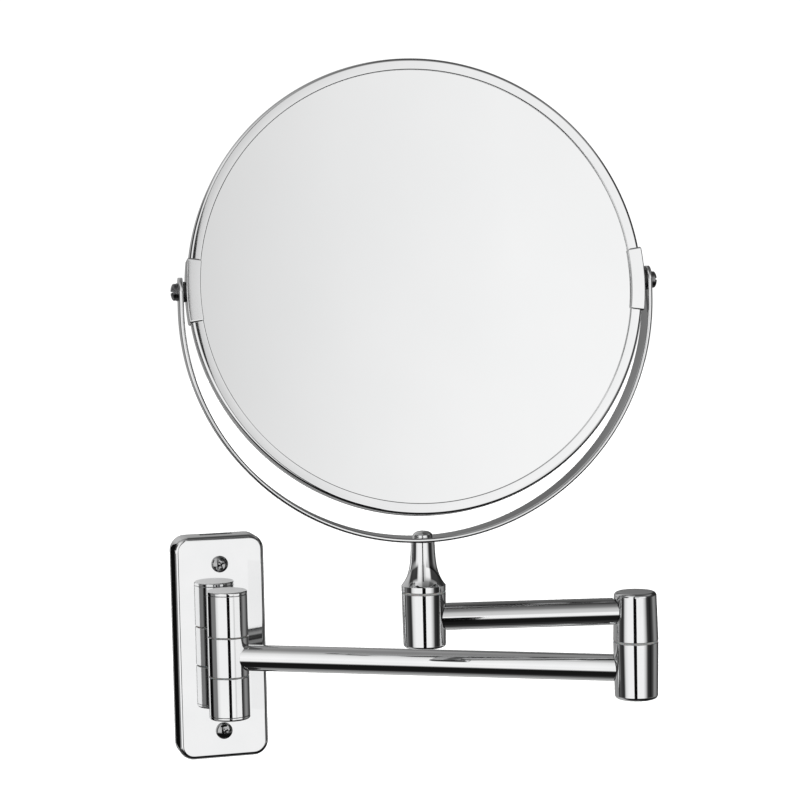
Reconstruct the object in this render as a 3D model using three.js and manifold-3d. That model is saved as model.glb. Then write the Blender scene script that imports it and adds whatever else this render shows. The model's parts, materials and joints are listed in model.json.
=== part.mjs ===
// Extendable wall mirror for shaving: wall plate, two swinging tube arms, swivelling yoke, flip-over mirror.
// Millimetres. The wall is the plane Y = 0, the object stands out towards -Y, and +Z is up.
// The origin is the middle of the wall bracket's back face.

import * as THREE from "three";
import { mergeVertices } from "three/addons/utils/BufferGeometryUtils.js";
import Module from "manifold-3d";

const wasm = await Module();
wasm.setup();

// ---------------------------------------------------------------- driving dimensions

// Wall plate
const PLATE_WIDTH = 42.5;
const PLATE_HEIGHT = 105;
const PLATE_DEPTH = 12.8;
const PLATE_CORNER = 7;
const PLATE_BEVEL = 2;
const PLATE_SHEET = 1.2;
const NOTCH_WIDTH = 15.3;
const NOTCH_DEPTH = 6.5;
const COVER_SCREW_HEIGHT = 39.4;
const COVER_SCREW_HEAD = 3.9;
const BRACKET_WIDTH = 34;
const BRACKET_HEIGHT = 94;
const BRACKET_SHEET = 2;
const BRACKET_CORNER = 4;
const TONGUE_WIDTH = 14.7;
const WALL_HOLE_HEIGHT = 28;
const WALL_HOLE = 2.6;
const PILLAR = 3.6;
const PILLAR_BORE = 1.75;
const PILLAR_FOOT = 2.4;
const COVER_SCREW_HOLE = 2.2;
const COVER_SCREW_SHANK = 1.6;
const COVER_SCREW_LENGTH = 9;
const COVER_SCREW_RISE = 2.3;
const STRAP_WIDTH = 20;
const STRAP_HEIGHT = 62;
const STRAP_SHEET = 2;
const STRAP_CORNER = 3;

// Wall hinge: three knuckles on one upright bolt
const HINGE_OFFSET = 27.9;
const BARREL = 9.45;
const BARREL_TOP = 29.3;
const BARREL_BOTTOM = -30.4;
const BARREL_SEAM_HIGH = 8.2;
const BARREL_SEAM_LOW = -10.4;
const BARREL_CAP = 1.6;
const BARREL_WASHER = 0.4;
const LUG_WIDTH = 9;
const LUG_HEIGHT = 13;
const LUG_SCREW_HIGH = 16;
const LUG_SCREW_LOW = -18;
const LUG_SCREW_HOLE = 2.7;
const LUG_SCREW_TIP = 20.4;
const LUG_THREAD_END = 21;
const HINGE_HEAD_POCKET = 9.3;
const HINGE_NUT_POCKET = 9.4;
const HINGE_BOLT_TIP = 3.4;
const CAP_PLUG = 1.5;
const CAP_PLUG_SHEET = 0.8;
const CAP_EDGE_HIGH = 1;
const CAP_EDGE_LOW = 1.2;

// Arms
const TUBE = 6;
const TUBE_WALL = 1;
const SPIGOT_LENGTH = 20;
const LONG_ARM = 189.5;
const LONG_ARM_HEIGHT = -1.9;
const SHORT_ARM = 93.5;
const SHORT_ARM_HEIGHT = 23.8;

// Elbow: two tapered knuckles on one upright bolt
const ELBOW_SEAM = 10.5;
const ELBOW_WIDE = 10;
const ELBOW_TOP = 32.4;
const ELBOW_TOP_RADIUS = 9.4;
const ELBOW_BOTTOM = -15.3;
const ELBOW_BOTTOM_RADIUS = 9.55;
const ELBOW_EDGE = 1.8;
const ELBOW_HEAD_POCKET = 8.4;
const ELBOW_NUT_POCKET = 7.4;
const ELBOW_BOLT_END_GAP = 0.4;
const DISC_CAP = 1.5;
const WASHER = 0.8;

// Post under the yoke and the neck that turns on it
const POST_BOTTOM = 10.7;
const POST_SEAM = 35.1;
const POST_RADIUS = 9.75;
const POST_BOTTOM_RADIUS = 9.35;
const POST_EDGE = 1.2;
const POST_POCKET = 6;
const POST_SHOULDER = 20.4;
const SWIVEL_THREAD_TOP = 45.5;
const NECK_BAND = 38.2;
const NECK_RADIUS = 5.15;
const NECK_FLARE = 5.2;
const NECK_STEPS = 9;
const NECK_CROWDING = 1.6;

// Yoke
const YOKE_RADIUS = 104;
const YOKE_LEG = 8;
const YOKE_SHEET = 2;
const YOKE_WIDTH = 12.5;
const PIVOT_HEIGHT = 169.4;
const YOKE_SCREW_HEAD = 4.4;
const YOKE_SCREW_CLEARANCE = 0.4;
const YOKE_SCREW_RISE = 2.4;
const YOKE_SCREW_SHANK = 1.9;
const YOKE_SCREW_LENGTH = 8.5;
const YOKE_THREAD = 2.05;
const YOKE_THREAD_LENGTH = 9;
const YOKE_SCREW_HOLE = 2.1;

// Mirror
const RING_RADIUS = 100;
const RING_DEPTH = 9;
const RING_LIP_RADIUS = 94.75;
const RING_SHEET = 0.9;
const RING_CHAMFER = 0.8;
const GLASS_RADIUS = 97.4;
const GLASS_SHEET = 1.7;
const GLASS_HOLLOW = 3;
const CARD_SHEET = 0.4;
const CARD_GAP = 0.15;
const CARD_INSET = 1;
const SLEEVE_LENGTH = 28;
const SLEEVE_SHEET = 0.7;
const SLEEVE_GAP = 0.15;
const PIVOT_SHANK = 1.75;
const PIVOT_HEAD = 3.65;
const PIVOT_HEAD_HEIGHT = 2.4;
const PIVOT_HEAD_RIM = 1;
const PIVOT_TIP_INSET = 2.1;
const PIVOT_SLOT_DEPTH = 1.2;
const PIVOT_SLOT_WIDTH = 1.1;
const PIVOT_BORE = 2;
const PIVOT_SPACER = 4.4;
const PIVOT_WASHER = 0.8;
const PIVOT_WASHER_RIM = 0.2;

// Pose at rest, in degrees from the wall or from straight
const LONG_ARM_YAW = -29.6;
const SHORT_ARM_YAW = 167.5;
const YOKE_YAW = -5.9;
const MIRROR_TILT = -9.8;

// Shared fits and fasteners
const GAP = 0.1;
const SHANK = 2.9;
const BORE = 3.2;
const BUSH = 4.1;
const POCKET = 6.5;
const BOLT_HEAD = 5;
const BOLT_HEAD_HEIGHT = 4;
const SMALL_SHANK = 2.4;
const SMALL_HEAD = 4.2;
const SMALL_HEAD_HEIGHT = 3;
const SMALL_BORE = 2.7;
const SOCKET_SHARE = 0.55;
const SOCKET_DEPTH_SHARE = 0.5;
const HEAD_RIM = 0.5;
const RECESS_SLOT = 1;
const RECESS_SPAN = 4.2;
const RECESS_DEPTH = 1.3;
const FIT = 0.15;
const OVERCUT = 1;
const NUT_FLATS = 10;
const NUT_HEIGHT = 4;
const SPRING_HEIGHT = 1.2;
const SPRING_SHEET = 0.6;
const SPRING_INSET = 0.5;
const WASHER_INSET = 0.1;
const ROUND = 40;
const SMALL_ROUND = 16;
const POCKET_ROUND = 24;
const RING_ROUND = 80;
const TUBE_ROUND = 32;
const YOKE_ROUND = 30;

// ---------------------------------------------------------------- materials

function finish(color, roughness, metalness) {
  return new THREE.MeshStandardMaterial({ color, roughness, metalness });
}

const chrome = finish(0xd9dcdf, 0.06, 1);
const steel = finish(0xa9adb0, 0.3, 1);
const darkSteel = finish(0x6c6f72, 0.35, 1);
const nylon = finish(0xc9cac6, 0.5, 0);
const blackPlastic = finish(0x161616, 0.5, 0);
const mirrorGlass = finish(0xe6eaec, 0.02, 1);
const card = finish(0x8a7d68, 0.9, 0);

// ---------------------------------------------------------------- solids and booleans

function signedVolume(positions, triangles) {
  const a = new THREE.Vector3();
  const b = new THREE.Vector3();
  const c = new THREE.Vector3();
  let sum = 0;
  for (let i = 0; i < triangles.length; i += 3) {
    a.fromArray(positions, triangles[i] * 3);
    b.fromArray(positions, triangles[i + 1] * 3);
    c.fromArray(positions, triangles[i + 2] * 3);
    sum += a.dot(b.cross(c));
  }
  return sum / 6;
}

// A geometry class's mesh as one solid: corners merged, collapsed triangles dropped, faces turned outward.
function solid(geometry) {
  const bare = geometry.clone();
  bare.deleteAttribute("normal");
  bare.deleteAttribute("uv");
  const merged = mergeVertices(bare, 1e-4);
  const vertProperties = new Float32Array(merged.attributes.position.array);
  const kept = [];
  const corners = merged.index.array;
  for (let i = 0; i < corners.length; i += 3) {
    const [a, b, c] = [corners[i], corners[i + 1], corners[i + 2]];
    if (a !== b && b !== c && c !== a) {
      kept.push(a, b, c);
    }
  }
  if (signedVolume(vertProperties, kept) < 0) {
    kept.reverse();
  }
  return new wasm.Manifold(new wasm.Mesh({ numProp: 3, vertProperties, triVerts: new Uint32Array(kept) }));
}

function geometryOf(body) {
  const mesh = body.getMesh();
  const geometry = new THREE.BufferGeometry();
  geometry.setAttribute("position", new THREE.BufferAttribute(new Float32Array(mesh.vertProperties), 3));
  geometry.setIndex(new THREE.BufferAttribute(new Uint32Array(mesh.triVerts), 1));
  geometry.computeVertexNormals();
  return geometry;
}

function cut(body, ...tools) {
  return tools.reduce((rest, tool) => rest.subtract(tool), body);
}

function join(body, ...others) {
  return others.reduce((sum, other) => sum.add(other), body);
}

const AXIS_TURNS = {
  x: (geometry) => geometry.rotateZ(-Math.PI / 2),
  y: (geometry) => geometry,
  z: (geometry) => geometry.rotateX(Math.PI / 2),
};

// A turned solid. Profile points are [radius, distance along the axis].
function turned(profile, axis = "z", segments = ROUND) {
  const points = profile.map(([radius, along]) => new THREE.Vector2(radius, along));
  return solid(AXIS_TURNS[axis](new THREE.LatheGeometry(points, segments)));
}

function rod(radius, from, to, axis = "z", segments = SMALL_ROUND) {
  return turned([[0, from], [radius, from], [radius, to], [0, to]], axis, segments);
}

// A washer or bush: the profile closes on itself.
function sleeveRing(inner, outer, from, to, axis = "z", segments = SMALL_ROUND) {
  return turned([[inner, from], [outer, from], [outer, to], [inner, to], [inner, from]], axis, segments);
}

function block(width, depth, height, x, y, z) {
  return solid(new THREE.BoxGeometry(width, depth, height).translate(x, y, z));
}

// Profile points of a rounded end edge, from the side wall to the end face.
function roundedEdge(radius, end, outward, edge, steps = 3) {
  const points = [];
  for (let i = 0; i <= steps; i += 1) {
    const angle = (Math.PI / 2) * (i / steps);
    points.push([radius - edge + edge * Math.cos(angle), end - outward * edge * (1 - Math.sin(angle))]);
  }
  return points;
}

function roundedRectangle(width, height, corner) {
  const [x, y] = [width / 2, height / 2];
  const shape = new THREE.Shape();
  shape.moveTo(-x + corner, -y);
  shape.lineTo(x - corner, -y);
  shape.absarc(x - corner, -y + corner, corner, -Math.PI / 2, 0, false);
  shape.lineTo(x, y - corner);
  shape.absarc(x - corner, y - corner, corner, 0, Math.PI / 2, false);
  shape.lineTo(-x + corner, y);
  shape.absarc(-x + corner, y - corner, corner, Math.PI / 2, Math.PI, false);
  shape.lineTo(-x, -y + corner);
  shape.absarc(-x + corner, -y + corner, corner, Math.PI, 1.5 * Math.PI, false);
  return shape;
}

// A flat sheet with rounded corners, parallel to the wall, between two distances from the wall.
function wallSheet(width, height, corner, from, to, bevel = 0) {
  const options = {
    depth: to - from - bevel,
    bevelEnabled: bevel > 0,
    bevelThickness: bevel,
    bevelSize: bevel,
    bevelOffset: -bevel,
    bevelSegments: 2,
    curveSegments: 5,
  };
  const geometry = new THREE.ExtrudeGeometry(roundedRectangle(width, height, corner), options);
  return solid(geometry.rotateX(Math.PI / 2).translate(0, -from, 0));
}

function hexNut(from, to, hole, x = 0, y = 0) {
  const body = rod(NUT_FLATS / Math.sqrt(3), from, to, "z", 6);
  return cut(body, rod(hole, from - OVERCUT, to + OVERCUT)).translate([x, y, 0]);
}

// Conical disc spring, its wide rim at `rim` and its eye one spring height further along.
function discSpring(eye, outer, rim, direction) {
  const lift = direction * (SPRING_HEIGHT - SPRING_SHEET);
  const sheet = direction * SPRING_SHEET;
  const profile = [
    [eye, rim + lift], [outer, rim], [outer, rim + sheet], [eye, rim + lift + sheet], [eye, rim + lift],
  ];
  return turned(profile, "z", SMALL_ROUND);
}

// Crossed recess, cut into a screw head whose outer face stands at `face` on the Y or the Z axis.
function crossRecess(axis, face) {
  const [span, slot, deep] = [RECESS_SPAN, RECESS_SLOT, RECESS_DEPTH * 2];
  if (axis === "y") {
    return join(block(span, deep, slot, 0, face, 0), block(slot, deep, span, 0, face, 0));
  }
  return join(block(span, slot, deep, 0, 0, face), block(slot, span, deep, 0, 0, face));
}

// Profile points of a domed head, from its rim to just short of its crown.
function domedHead(radius, rim, crown, steps = 6) {
  const points = [];
  for (let i = 0; i < steps; i += 1) {
    const angle = (Math.PI / 2) * (i / steps);
    points.push([radius * Math.cos(angle), rim + (crown - rim) * Math.sin(angle)]);
  }
  return points;
}

// ---------------------------------------------------------------- scene graph

const mirrorAssembly = new THREE.Group();
const longArm = new THREE.Group();
const shortArm = new THREE.Group();
const yoke = new THREE.Group();
const mirrorHead = new THREE.Group();

longArm.position.set(0, -HINGE_OFFSET, 0);
longArm.rotation.z = THREE.MathUtils.degToRad(LONG_ARM_YAW);
shortArm.position.set(LONG_ARM, 0, 0);
shortArm.rotation.z = THREE.MathUtils.degToRad(SHORT_ARM_YAW - LONG_ARM_YAW);
yoke.position.set(SHORT_ARM, 0, 0);
yoke.rotation.z = THREE.MathUtils.degToRad(YOKE_YAW - SHORT_ARM_YAW);
mirrorHead.position.set(0, 0, PIVOT_HEIGHT);
mirrorHead.rotation.x = THREE.MathUtils.degToRad(MIRROR_TILT);

mirrorAssembly.add(longArm);
longArm.add(shortArm);
shortArm.add(yoke);
yoke.add(mirrorHead);

function place(group, name, material, body) {
  const mesh = new THREE.Mesh(geometryOf(body), material.clone());
  mesh.name = name;
  group.add(mesh);
}

// ---------------------------------------------------------------- wall plate

const STRAP_FACE = PLATE_DEPTH - PLATE_SHEET - GAP;
const STRAP_BACK = STRAP_FACE - STRAP_SHEET;
const SIDES = [["upper", 1], ["lower", -1]];

// Hole square to the wall, right through everything in the plate.
function throughHole(radius, height) {
  return rod(radius, -PLATE_DEPTH - OVERCUT, OVERCUT, "y").translate([0, 0, height]);
}

// Cover: a shallow box open towards the wall, with a notch in the back of its top edge.
function coverPlate() {
  const outer = wallSheet(PLATE_WIDTH, PLATE_HEIGHT, PLATE_CORNER, 0, PLATE_DEPTH, PLATE_BEVEL);
  const flush = cut(outer, block(PLATE_WIDTH * 2, PLATE_DEPTH, PLATE_HEIGHT * 2, 0, PLATE_DEPTH / 2, 0));
  const innerWidth = PLATE_WIDTH - 2 * PLATE_SHEET;
  const innerHeight = PLATE_HEIGHT - 2 * PLATE_SHEET;
  const innerCorner = PLATE_CORNER - PLATE_SHEET;
  const hollow = wallSheet(innerWidth, innerHeight, innerCorner, -OVERCUT, PLATE_DEPTH - PLATE_SHEET);
  const holes = [];
  for (const [, sign] of SIDES) {
    holes.push(throughHole(COVER_SCREW_HOLE, sign * COVER_SCREW_HEIGHT));
  }
  for (const height of [LUG_SCREW_HIGH, LUG_SCREW_LOW]) {
    holes.push(throughHole(LUG_SCREW_HOLE, height));
  }
  const notch = block(NOTCH_WIDTH, 2 * NOTCH_DEPTH, 4 * PLATE_SHEET, 0, 0, PLATE_HEIGHT / 2);
  return cut(flush, hollow, notch, ...holes);
}

// Bracket on the wall. The tongue at its top stands in the cover's notch and keeps the cover straight.
function wallBracket() {
  const sheet = wallSheet(BRACKET_WIDTH, BRACKET_HEIGHT, BRACKET_CORNER, 0, BRACKET_SHEET);
  const tongueTop = PLATE_HEIGHT / 2 - GAP;
  const tongue = block(TONGUE_WIDTH, BRACKET_SHEET, tongueTop, 0, -BRACKET_SHEET / 2, tongueTop / 2);
  const holes = [];
  for (const [, sign] of SIDES) {
    holes.push(throughHole(PILLAR_FOOT + GAP, sign * COVER_SCREW_HEIGHT));
    holes.push(throughHole(WALL_HOLE, sign * WALL_HOLE_HEIGHT));
  }
  return cut(join(sheet, tongue), ...holes);
}

// Threaded pillar: a stepped foot riveted in the bracket, and a face for the cover sheet.
function pillar(height) {
  const shoulder = -BRACKET_SHEET - GAP;
  const face = -STRAP_FACE;
  const profile = [
    [PILLAR_BORE, 0], [PILLAR_FOOT, 0], [PILLAR_FOOT, shoulder], [PILLAR, shoulder], [PILLAR, face],
    [PILLAR_BORE, face], [PILLAR_BORE, 0],
  ];
  return turned(profile, "y", SMALL_ROUND).translate([0, 0, height]);
}

function coverScrew(height) {
  const seat = -PLATE_DEPTH - GAP;
  const crown = seat - COVER_SCREW_RISE;
  const tip = seat + COVER_SCREW_LENGTH;
  const profile = [
    [0, tip], [COVER_SCREW_SHANK, tip], [COVER_SCREW_SHANK, seat], [COVER_SCREW_HEAD, seat],
    ...domedHead(COVER_SCREW_HEAD, seat - HEAD_RIM, crown), [0, crown],
  ];
  return cut(turned(profile, "y", SMALL_ROUND), crossRecess("y", crown)).translate([0, 0, height]);
}

function backingStrap() {
  const sheet = wallSheet(STRAP_WIDTH, STRAP_HEIGHT, STRAP_CORNER, STRAP_BACK, STRAP_FACE);
  const holes = [LUG_SCREW_HIGH, LUG_SCREW_LOW].map((height) => throughHole(LUG_SCREW_HOLE, height));
  return cut(sheet, ...holes);
}

function lugScrew(height) {
  const seat = -(STRAP_BACK - GAP);
  const back = seat + SMALL_HEAD_HEIGHT;
  const shank = rod(SMALL_SHANK, -LUG_SCREW_TIP, seat, "y");
  const head = rod(SMALL_HEAD, seat, back, "y");
  const socketFloor = seat + SMALL_HEAD_HEIGHT * SOCKET_DEPTH_SHARE;
  const socket = rod(SMALL_HEAD * SOCKET_SHARE, socketFloor, back + OVERCUT, "y", 6);
  return cut(join(shank, head), socket).translate([0, 0, height]);
}

place(mirrorAssembly, "cover_plate", chrome, coverPlate());
place(mirrorAssembly, "wall_bracket", steel, wallBracket());
place(mirrorAssembly, "backing_strap", steel, backingStrap());
for (const [side, sign] of SIDES) {
  place(mirrorAssembly, `cover_pillar_${side}`, steel, pillar(sign * COVER_SCREW_HEIGHT));
  place(mirrorAssembly, `cover_screw_${side}`, chrome, coverScrew(sign * COVER_SCREW_HEIGHT));
}
place(mirrorAssembly, "lug_screw_upper", steel, lugScrew(LUG_SCREW_HIGH));
place(mirrorAssembly, "lug_screw_lower", steel, lugScrew(LUG_SCREW_LOW));

// ---------------------------------------------------------------- wall hinge

const SEAM_HALF = BARREL_WASHER / 2 + GAP;
const HIGH_SHOULDER = BARREL_TOP - HINGE_HEAD_POCKET;
const LOW_SHOULDER = BARREL_BOTTOM + HINGE_NUT_POCKET;
const NUT_TOP = LOW_SHOULDER - SPRING_HEIGHT - 2 * GAP;

// Fixed knuckle with the lug that stands on the cover sheet. The pocket holds the bolt head or the nut.
function fixedKnuckle(from, to, shoulder, pocketEnd, lugHeight) {
  const barrel = rod(BARREL, from, to, "z", ROUND);
  const lugDepth = HINGE_OFFSET - PLATE_DEPTH - GAP;
  const lug = block(LUG_WIDTH, lugDepth, LUG_HEIGHT, 0, lugDepth / 2, lugHeight);
  const bore = rod(BORE, from - OVERCUT, to + OVERCUT);
  const pocket = pocketDisc(POCKET, shoulder, pocketEnd);
  const threadStart = HINGE_OFFSET - LUG_THREAD_END;
  const thread = rod(SMALL_SHANK + FIT, threadStart, HINGE_OFFSET, "y").translate([0, 0, lugHeight]);
  return cut(join(barrel, lug), bore, pocket, thread).translate([0, -HINGE_OFFSET, 0]);
}

// End cap with a hollow plug, between its rim and its outer face.
function endCap(radius, face, rim, edge) {
  const outward = Math.sign(face - rim);
  const plug = POCKET - GAP;
  const hollow = plug - CAP_PLUG_SHEET;
  const inner = rim - outward * CAP_PLUG;
  const profile = [[0, rim], [hollow, rim], [hollow, inner], [plug, inner], [plug, rim], [radius, rim]];
  return turned([...profile, ...roundedEdge(radius, face, outward, edge), [0, face]], "z", ROUND);
}

function pocketDisc(radius, floor, mouth) {
  return uprightRod(radius, floor, mouth, POCKET_ROUND);
}

function onHinge(body) {
  return body.translate([0, -HINGE_OFFSET, 0]);
}

// Upright rod between two heights given in either order.
function uprightRod(radius, one, other, segments = SMALL_ROUND) {
  return rod(radius, Math.min(one, other), Math.max(one, other), "z", segments);
}

// Socket-head bolt: the shank runs from the head's seat to its tip.
function bolt(shank, head, headHeight, seat, tip) {
  const away = Math.sign(seat - tip);
  const shaft = uprightRod(shank, seat, tip);
  const crown = uprightRod(head, seat, seat + away * headHeight);
  const socketFloor = seat + away * headHeight * SOCKET_DEPTH_SHARE;
  const socket = uprightRod(head * SOCKET_SHARE, socketFloor, seat + away * (headHeight + OVERCUT), 6);
  return cut(join(shaft, crown), socket);
}

// Flat washer that shows as a thin line between two knuckles.
function seamWasher(radius, seam, thickness) {
  return sleeveRing(BORE, radius - WASHER_INSET, seam - thickness / 2, seam + thickness / 2, "z", ROUND);
}

const CAP_RIM_HIGH = BARREL_TOP - BARREL_CAP;
const CAP_RIM_LOW = BARREL_BOTTOM + BARREL_CAP;

place(mirrorAssembly, "hinge_knuckle_upper", chrome,
  fixedKnuckle(BARREL_SEAM_HIGH + SEAM_HALF, CAP_RIM_HIGH - GAP, HIGH_SHOULDER, BARREL_TOP, LUG_SCREW_HIGH));
place(mirrorAssembly, "hinge_knuckle_lower", chrome,
  fixedKnuckle(CAP_RIM_LOW + GAP, BARREL_SEAM_LOW - SEAM_HALF, LOW_SHOULDER, BARREL_BOTTOM, LUG_SCREW_LOW));
place(mirrorAssembly, "hinge_cap_upper", chrome,
  onHinge(endCap(BARREL, BARREL_TOP, CAP_RIM_HIGH, CAP_EDGE_HIGH)));
place(mirrorAssembly, "hinge_cap_lower", chrome,
  onHinge(endCap(BARREL, BARREL_BOTTOM, CAP_RIM_LOW, CAP_EDGE_LOW)));
place(mirrorAssembly, "hinge_bolt", steel,
  onHinge(bolt(SHANK, BOLT_HEAD, BOLT_HEAD_HEIGHT, HIGH_SHOULDER + GAP, BARREL_BOTTOM + HINGE_BOLT_TIP)));
place(mirrorAssembly, "hinge_disc_spring", darkSteel,
  onHinge(discSpring(BORE, POCKET - SPRING_INSET, LOW_SHOULDER - GAP, -1)));
place(mirrorAssembly, "hinge_nut", steel,
  hexNut(NUT_TOP - NUT_HEIGHT, NUT_TOP, SHANK + GAP, 0, -HINGE_OFFSET));
for (const [side, seam] of [["upper", BARREL_SEAM_HIGH], ["lower", BARREL_SEAM_LOW]]) {
  const washer = seamWasher(BARREL, seam, BARREL_WASHER);
  place(mirrorAssembly, `hinge_washer_${side}`, nylon, onHinge(washer));
}

// ---------------------------------------------------------------- long arm

// Tube between two upright knuckles, its ends scribed to their barrels.
function armTube(length, height, startRadius, endRadius) {
  const [low, high] = [height - 2 * TUBE, height + 2 * TUBE];
  const tube = sleeveRing(TUBE - TUBE_WALL, TUBE, TUBE, length - TUBE, "x", TUBE_ROUND);
  const start = rod(startRadius + GAP, low, high, "z", ROUND);
  const end = rod(endRadius + GAP, low, high, "z", ROUND).translate([length, 0, 0]);
  return cut(tube.translate([0, 0, height]), start, end);
}

// Spigot that plugs a knuckle into its tube; `direction` is +1 or -1 along the arm.
function spigot(height, direction) {
  const radius = TUBE - TUBE_WALL - FIT;
  const [from, to] = direction > 0 ? [0, SPIGOT_LENGTH] : [-SPIGOT_LENGTH, 0];
  return rod(radius, from, to, "x", SMALL_ROUND).translate([0, 0, height]);
}

function middleKnuckle() {
  const from = BARREL_SEAM_LOW + SEAM_HALF;
  const to = BARREL_SEAM_HIGH - SEAM_HALF;
  const body = join(rod(BARREL, from, to, "z", ROUND), spigot(LONG_ARM_HEIGHT, 1));
  return cut(body, rod(BUSH + GAP, from - OVERCUT, to + OVERCUT));
}

// Tapered knuckle, widest at the seam, with a rounded outer edge and a pocket for the bolt head or nut.
function elbowKnuckle(seamFace, end, endRadius, pocketFloor, boreRadius) {
  const outward = Math.sign(end - seamFace);
  const edge = roundedEdge(endRadius, end, outward, ELBOW_EDGE);
  const body = turned([[0, seamFace], [ELBOW_WIDE, seamFace], ...edge, [0, end]], "z", ROUND);
  const bore = uprightRod(boreRadius, seamFace - outward * OVERCUT, end + outward * OVERCUT);
  const pocket = pocketDisc(POCKET, pocketFloor, end + outward * OVERCUT);
  return { body, tools: [bore, pocket] };
}

const ELBOW_GAP = WASHER / 2 + GAP;
const ELBOW_POCKET_LOW = ELBOW_BOTTOM + ELBOW_NUT_POCKET;
const ELBOW_POCKET_HIGH = ELBOW_TOP - ELBOW_HEAD_POCKET;
const ELBOW_NUT_TOP = ELBOW_POCKET_LOW - SPRING_HEIGHT - 2 * GAP;
const ELBOW_BOLT_TIP = ELBOW_BOTTOM + DISC_CAP + ELBOW_BOLT_END_GAP;

function lowerElbow() {
  const { body, tools } = elbowKnuckle(
    ELBOW_SEAM - ELBOW_GAP, ELBOW_BOTTOM, ELBOW_BOTTOM_RADIUS, ELBOW_POCKET_LOW, BORE);
  return cut(join(body, spigot(LONG_ARM_HEIGHT, -1)), ...tools);
}

function onElbow(body) {
  return body.translate([LONG_ARM, 0, 0]);
}

place(longArm, "hinge_knuckle_middle", chrome, middleKnuckle());
place(longArm, "hinge_bush", nylon,
  sleeveRing(SHANK + GAP, BUSH, BARREL_SEAM_LOW + SEAM_HALF, BARREL_SEAM_HIGH - SEAM_HALF));
place(longArm, "long_arm_tube", chrome, armTube(LONG_ARM, LONG_ARM_HEIGHT, BARREL, ELBOW_WIDE));
place(longArm, "elbow_knuckle_lower", chrome, onElbow(lowerElbow()));
place(longArm, "elbow_cap_lower", chrome,
  onElbow(pocketDisc(POCKET - GAP, ELBOW_BOTTOM, ELBOW_BOTTOM + DISC_CAP)));
place(longArm, "elbow_bolt", steel,
  onElbow(bolt(SHANK, BOLT_HEAD, BOLT_HEAD_HEIGHT, ELBOW_POCKET_HIGH + GAP, ELBOW_BOLT_TIP)));
place(longArm, "elbow_disc_spring", darkSteel,
  onElbow(discSpring(BORE, POCKET - SPRING_INSET, ELBOW_POCKET_LOW - GAP, -1)));
place(longArm, "elbow_nut", steel,
  hexNut(ELBOW_NUT_TOP - NUT_HEIGHT, ELBOW_NUT_TOP, SHANK + GAP, LONG_ARM, 0));
place(longArm, "elbow_washer", nylon, onElbow(seamWasher(ELBOW_WIDE, ELBOW_SEAM, WASHER)));

// ---------------------------------------------------------------- short arm and post

function upperElbow() {
  const { body, tools } = elbowKnuckle(
    ELBOW_SEAM + ELBOW_GAP, ELBOW_TOP, ELBOW_TOP_RADIUS, ELBOW_POCKET_HIGH, BUSH + GAP);
  return cut(join(body, spigot(SHORT_ARM_HEIGHT, 1)), ...tools);
}

const POST_TOP = POST_SEAM - WASHER / 2 - GAP;
const NECK_BOTTOM = POST_SEAM + WASHER / 2 + GAP;

function postBody() {
  const edge = roundedEdge(POST_BOTTOM_RADIUS, POST_BOTTOM, -1, POST_EDGE);
  const body = turned([[0, POST_TOP], [POST_RADIUS, POST_TOP], ...edge, [0, POST_BOTTOM]], "z", ROUND);
  const bore = rod(SMALL_BORE, POST_BOTTOM - OVERCUT, POST_TOP + OVERCUT);
  const pocket = pocketDisc(POST_POCKET, POST_SHOULDER, POST_BOTTOM - OVERCUT);
  return cut(join(body, spigot(SHORT_ARM_HEIGHT, -1)), bore, pocket).translate([SHORT_ARM, 0, 0]);
}

place(shortArm, "elbow_knuckle_upper", chrome, upperElbow());
place(shortArm, "elbow_bush", nylon,
  sleeveRing(SHANK + GAP, BUSH, ELBOW_SEAM + ELBOW_GAP, ELBOW_POCKET_HIGH - GAP));
place(shortArm, "elbow_cap_upper", chrome, pocketDisc(POCKET - GAP, ELBOW_TOP - DISC_CAP, ELBOW_TOP));
place(shortArm, "short_arm_tube", chrome, armTube(SHORT_ARM, SHORT_ARM_HEIGHT, ELBOW_WIDE, POST_RADIUS));
place(shortArm, "post_body", chrome, postBody());
place(shortArm, "post_cap", chrome,
  pocketDisc(POST_POCKET - GAP, POST_BOTTOM, POST_BOTTOM + DISC_CAP).translate([SHORT_ARM, 0, 0]));
place(shortArm, "swivel_washer", nylon,
  seamWasher(POST_RADIUS, POST_SEAM, WASHER).translate([SHORT_ARM, 0, 0]));

// ---------------------------------------------------------------- neck and yoke

const YOKE_CENTRE = PIVOT_HEIGHT - YOKE_LEG;
const YOKE_BOTTOM = YOKE_CENTRE - YOKE_RADIUS;
const YOKE_FLOOR = YOKE_BOTTOM + YOKE_SHEET;
const NECK_TOP = YOKE_BOTTOM - GAP;

// The neck's shoulder falls away from the band to the stem as a decaying curve.
function neckRadius(height) {
  return NECK_RADIUS + (POST_RADIUS - NECK_RADIUS) * Math.exp(-(height - NECK_BAND) / NECK_FLARE);
}

function swivelNeck() {
  const profile = [[0, NECK_BOTTOM], [POST_RADIUS, NECK_BOTTOM]];
  for (let i = 0; i <= NECK_STEPS; i += 1) {
    const share = (i / NECK_STEPS) ** NECK_CROWDING;
    const height = NECK_BAND + (NECK_TOP - NECK_BAND) * share;
    profile.push([neckRadius(height), height]);
  }
  profile.push([0, NECK_TOP]);
  const body = turned(profile, "z", ROUND);
  const lower = rod(SMALL_SHANK + GAP, NECK_BOTTOM - OVERCUT, SWIVEL_THREAD_TOP + HEAD_RIM);
  const upper = rod(YOKE_THREAD, NECK_TOP - YOKE_THREAD_LENGTH, NECK_TOP + OVERCUT);
  return cut(body, lower, upper);
}

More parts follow.
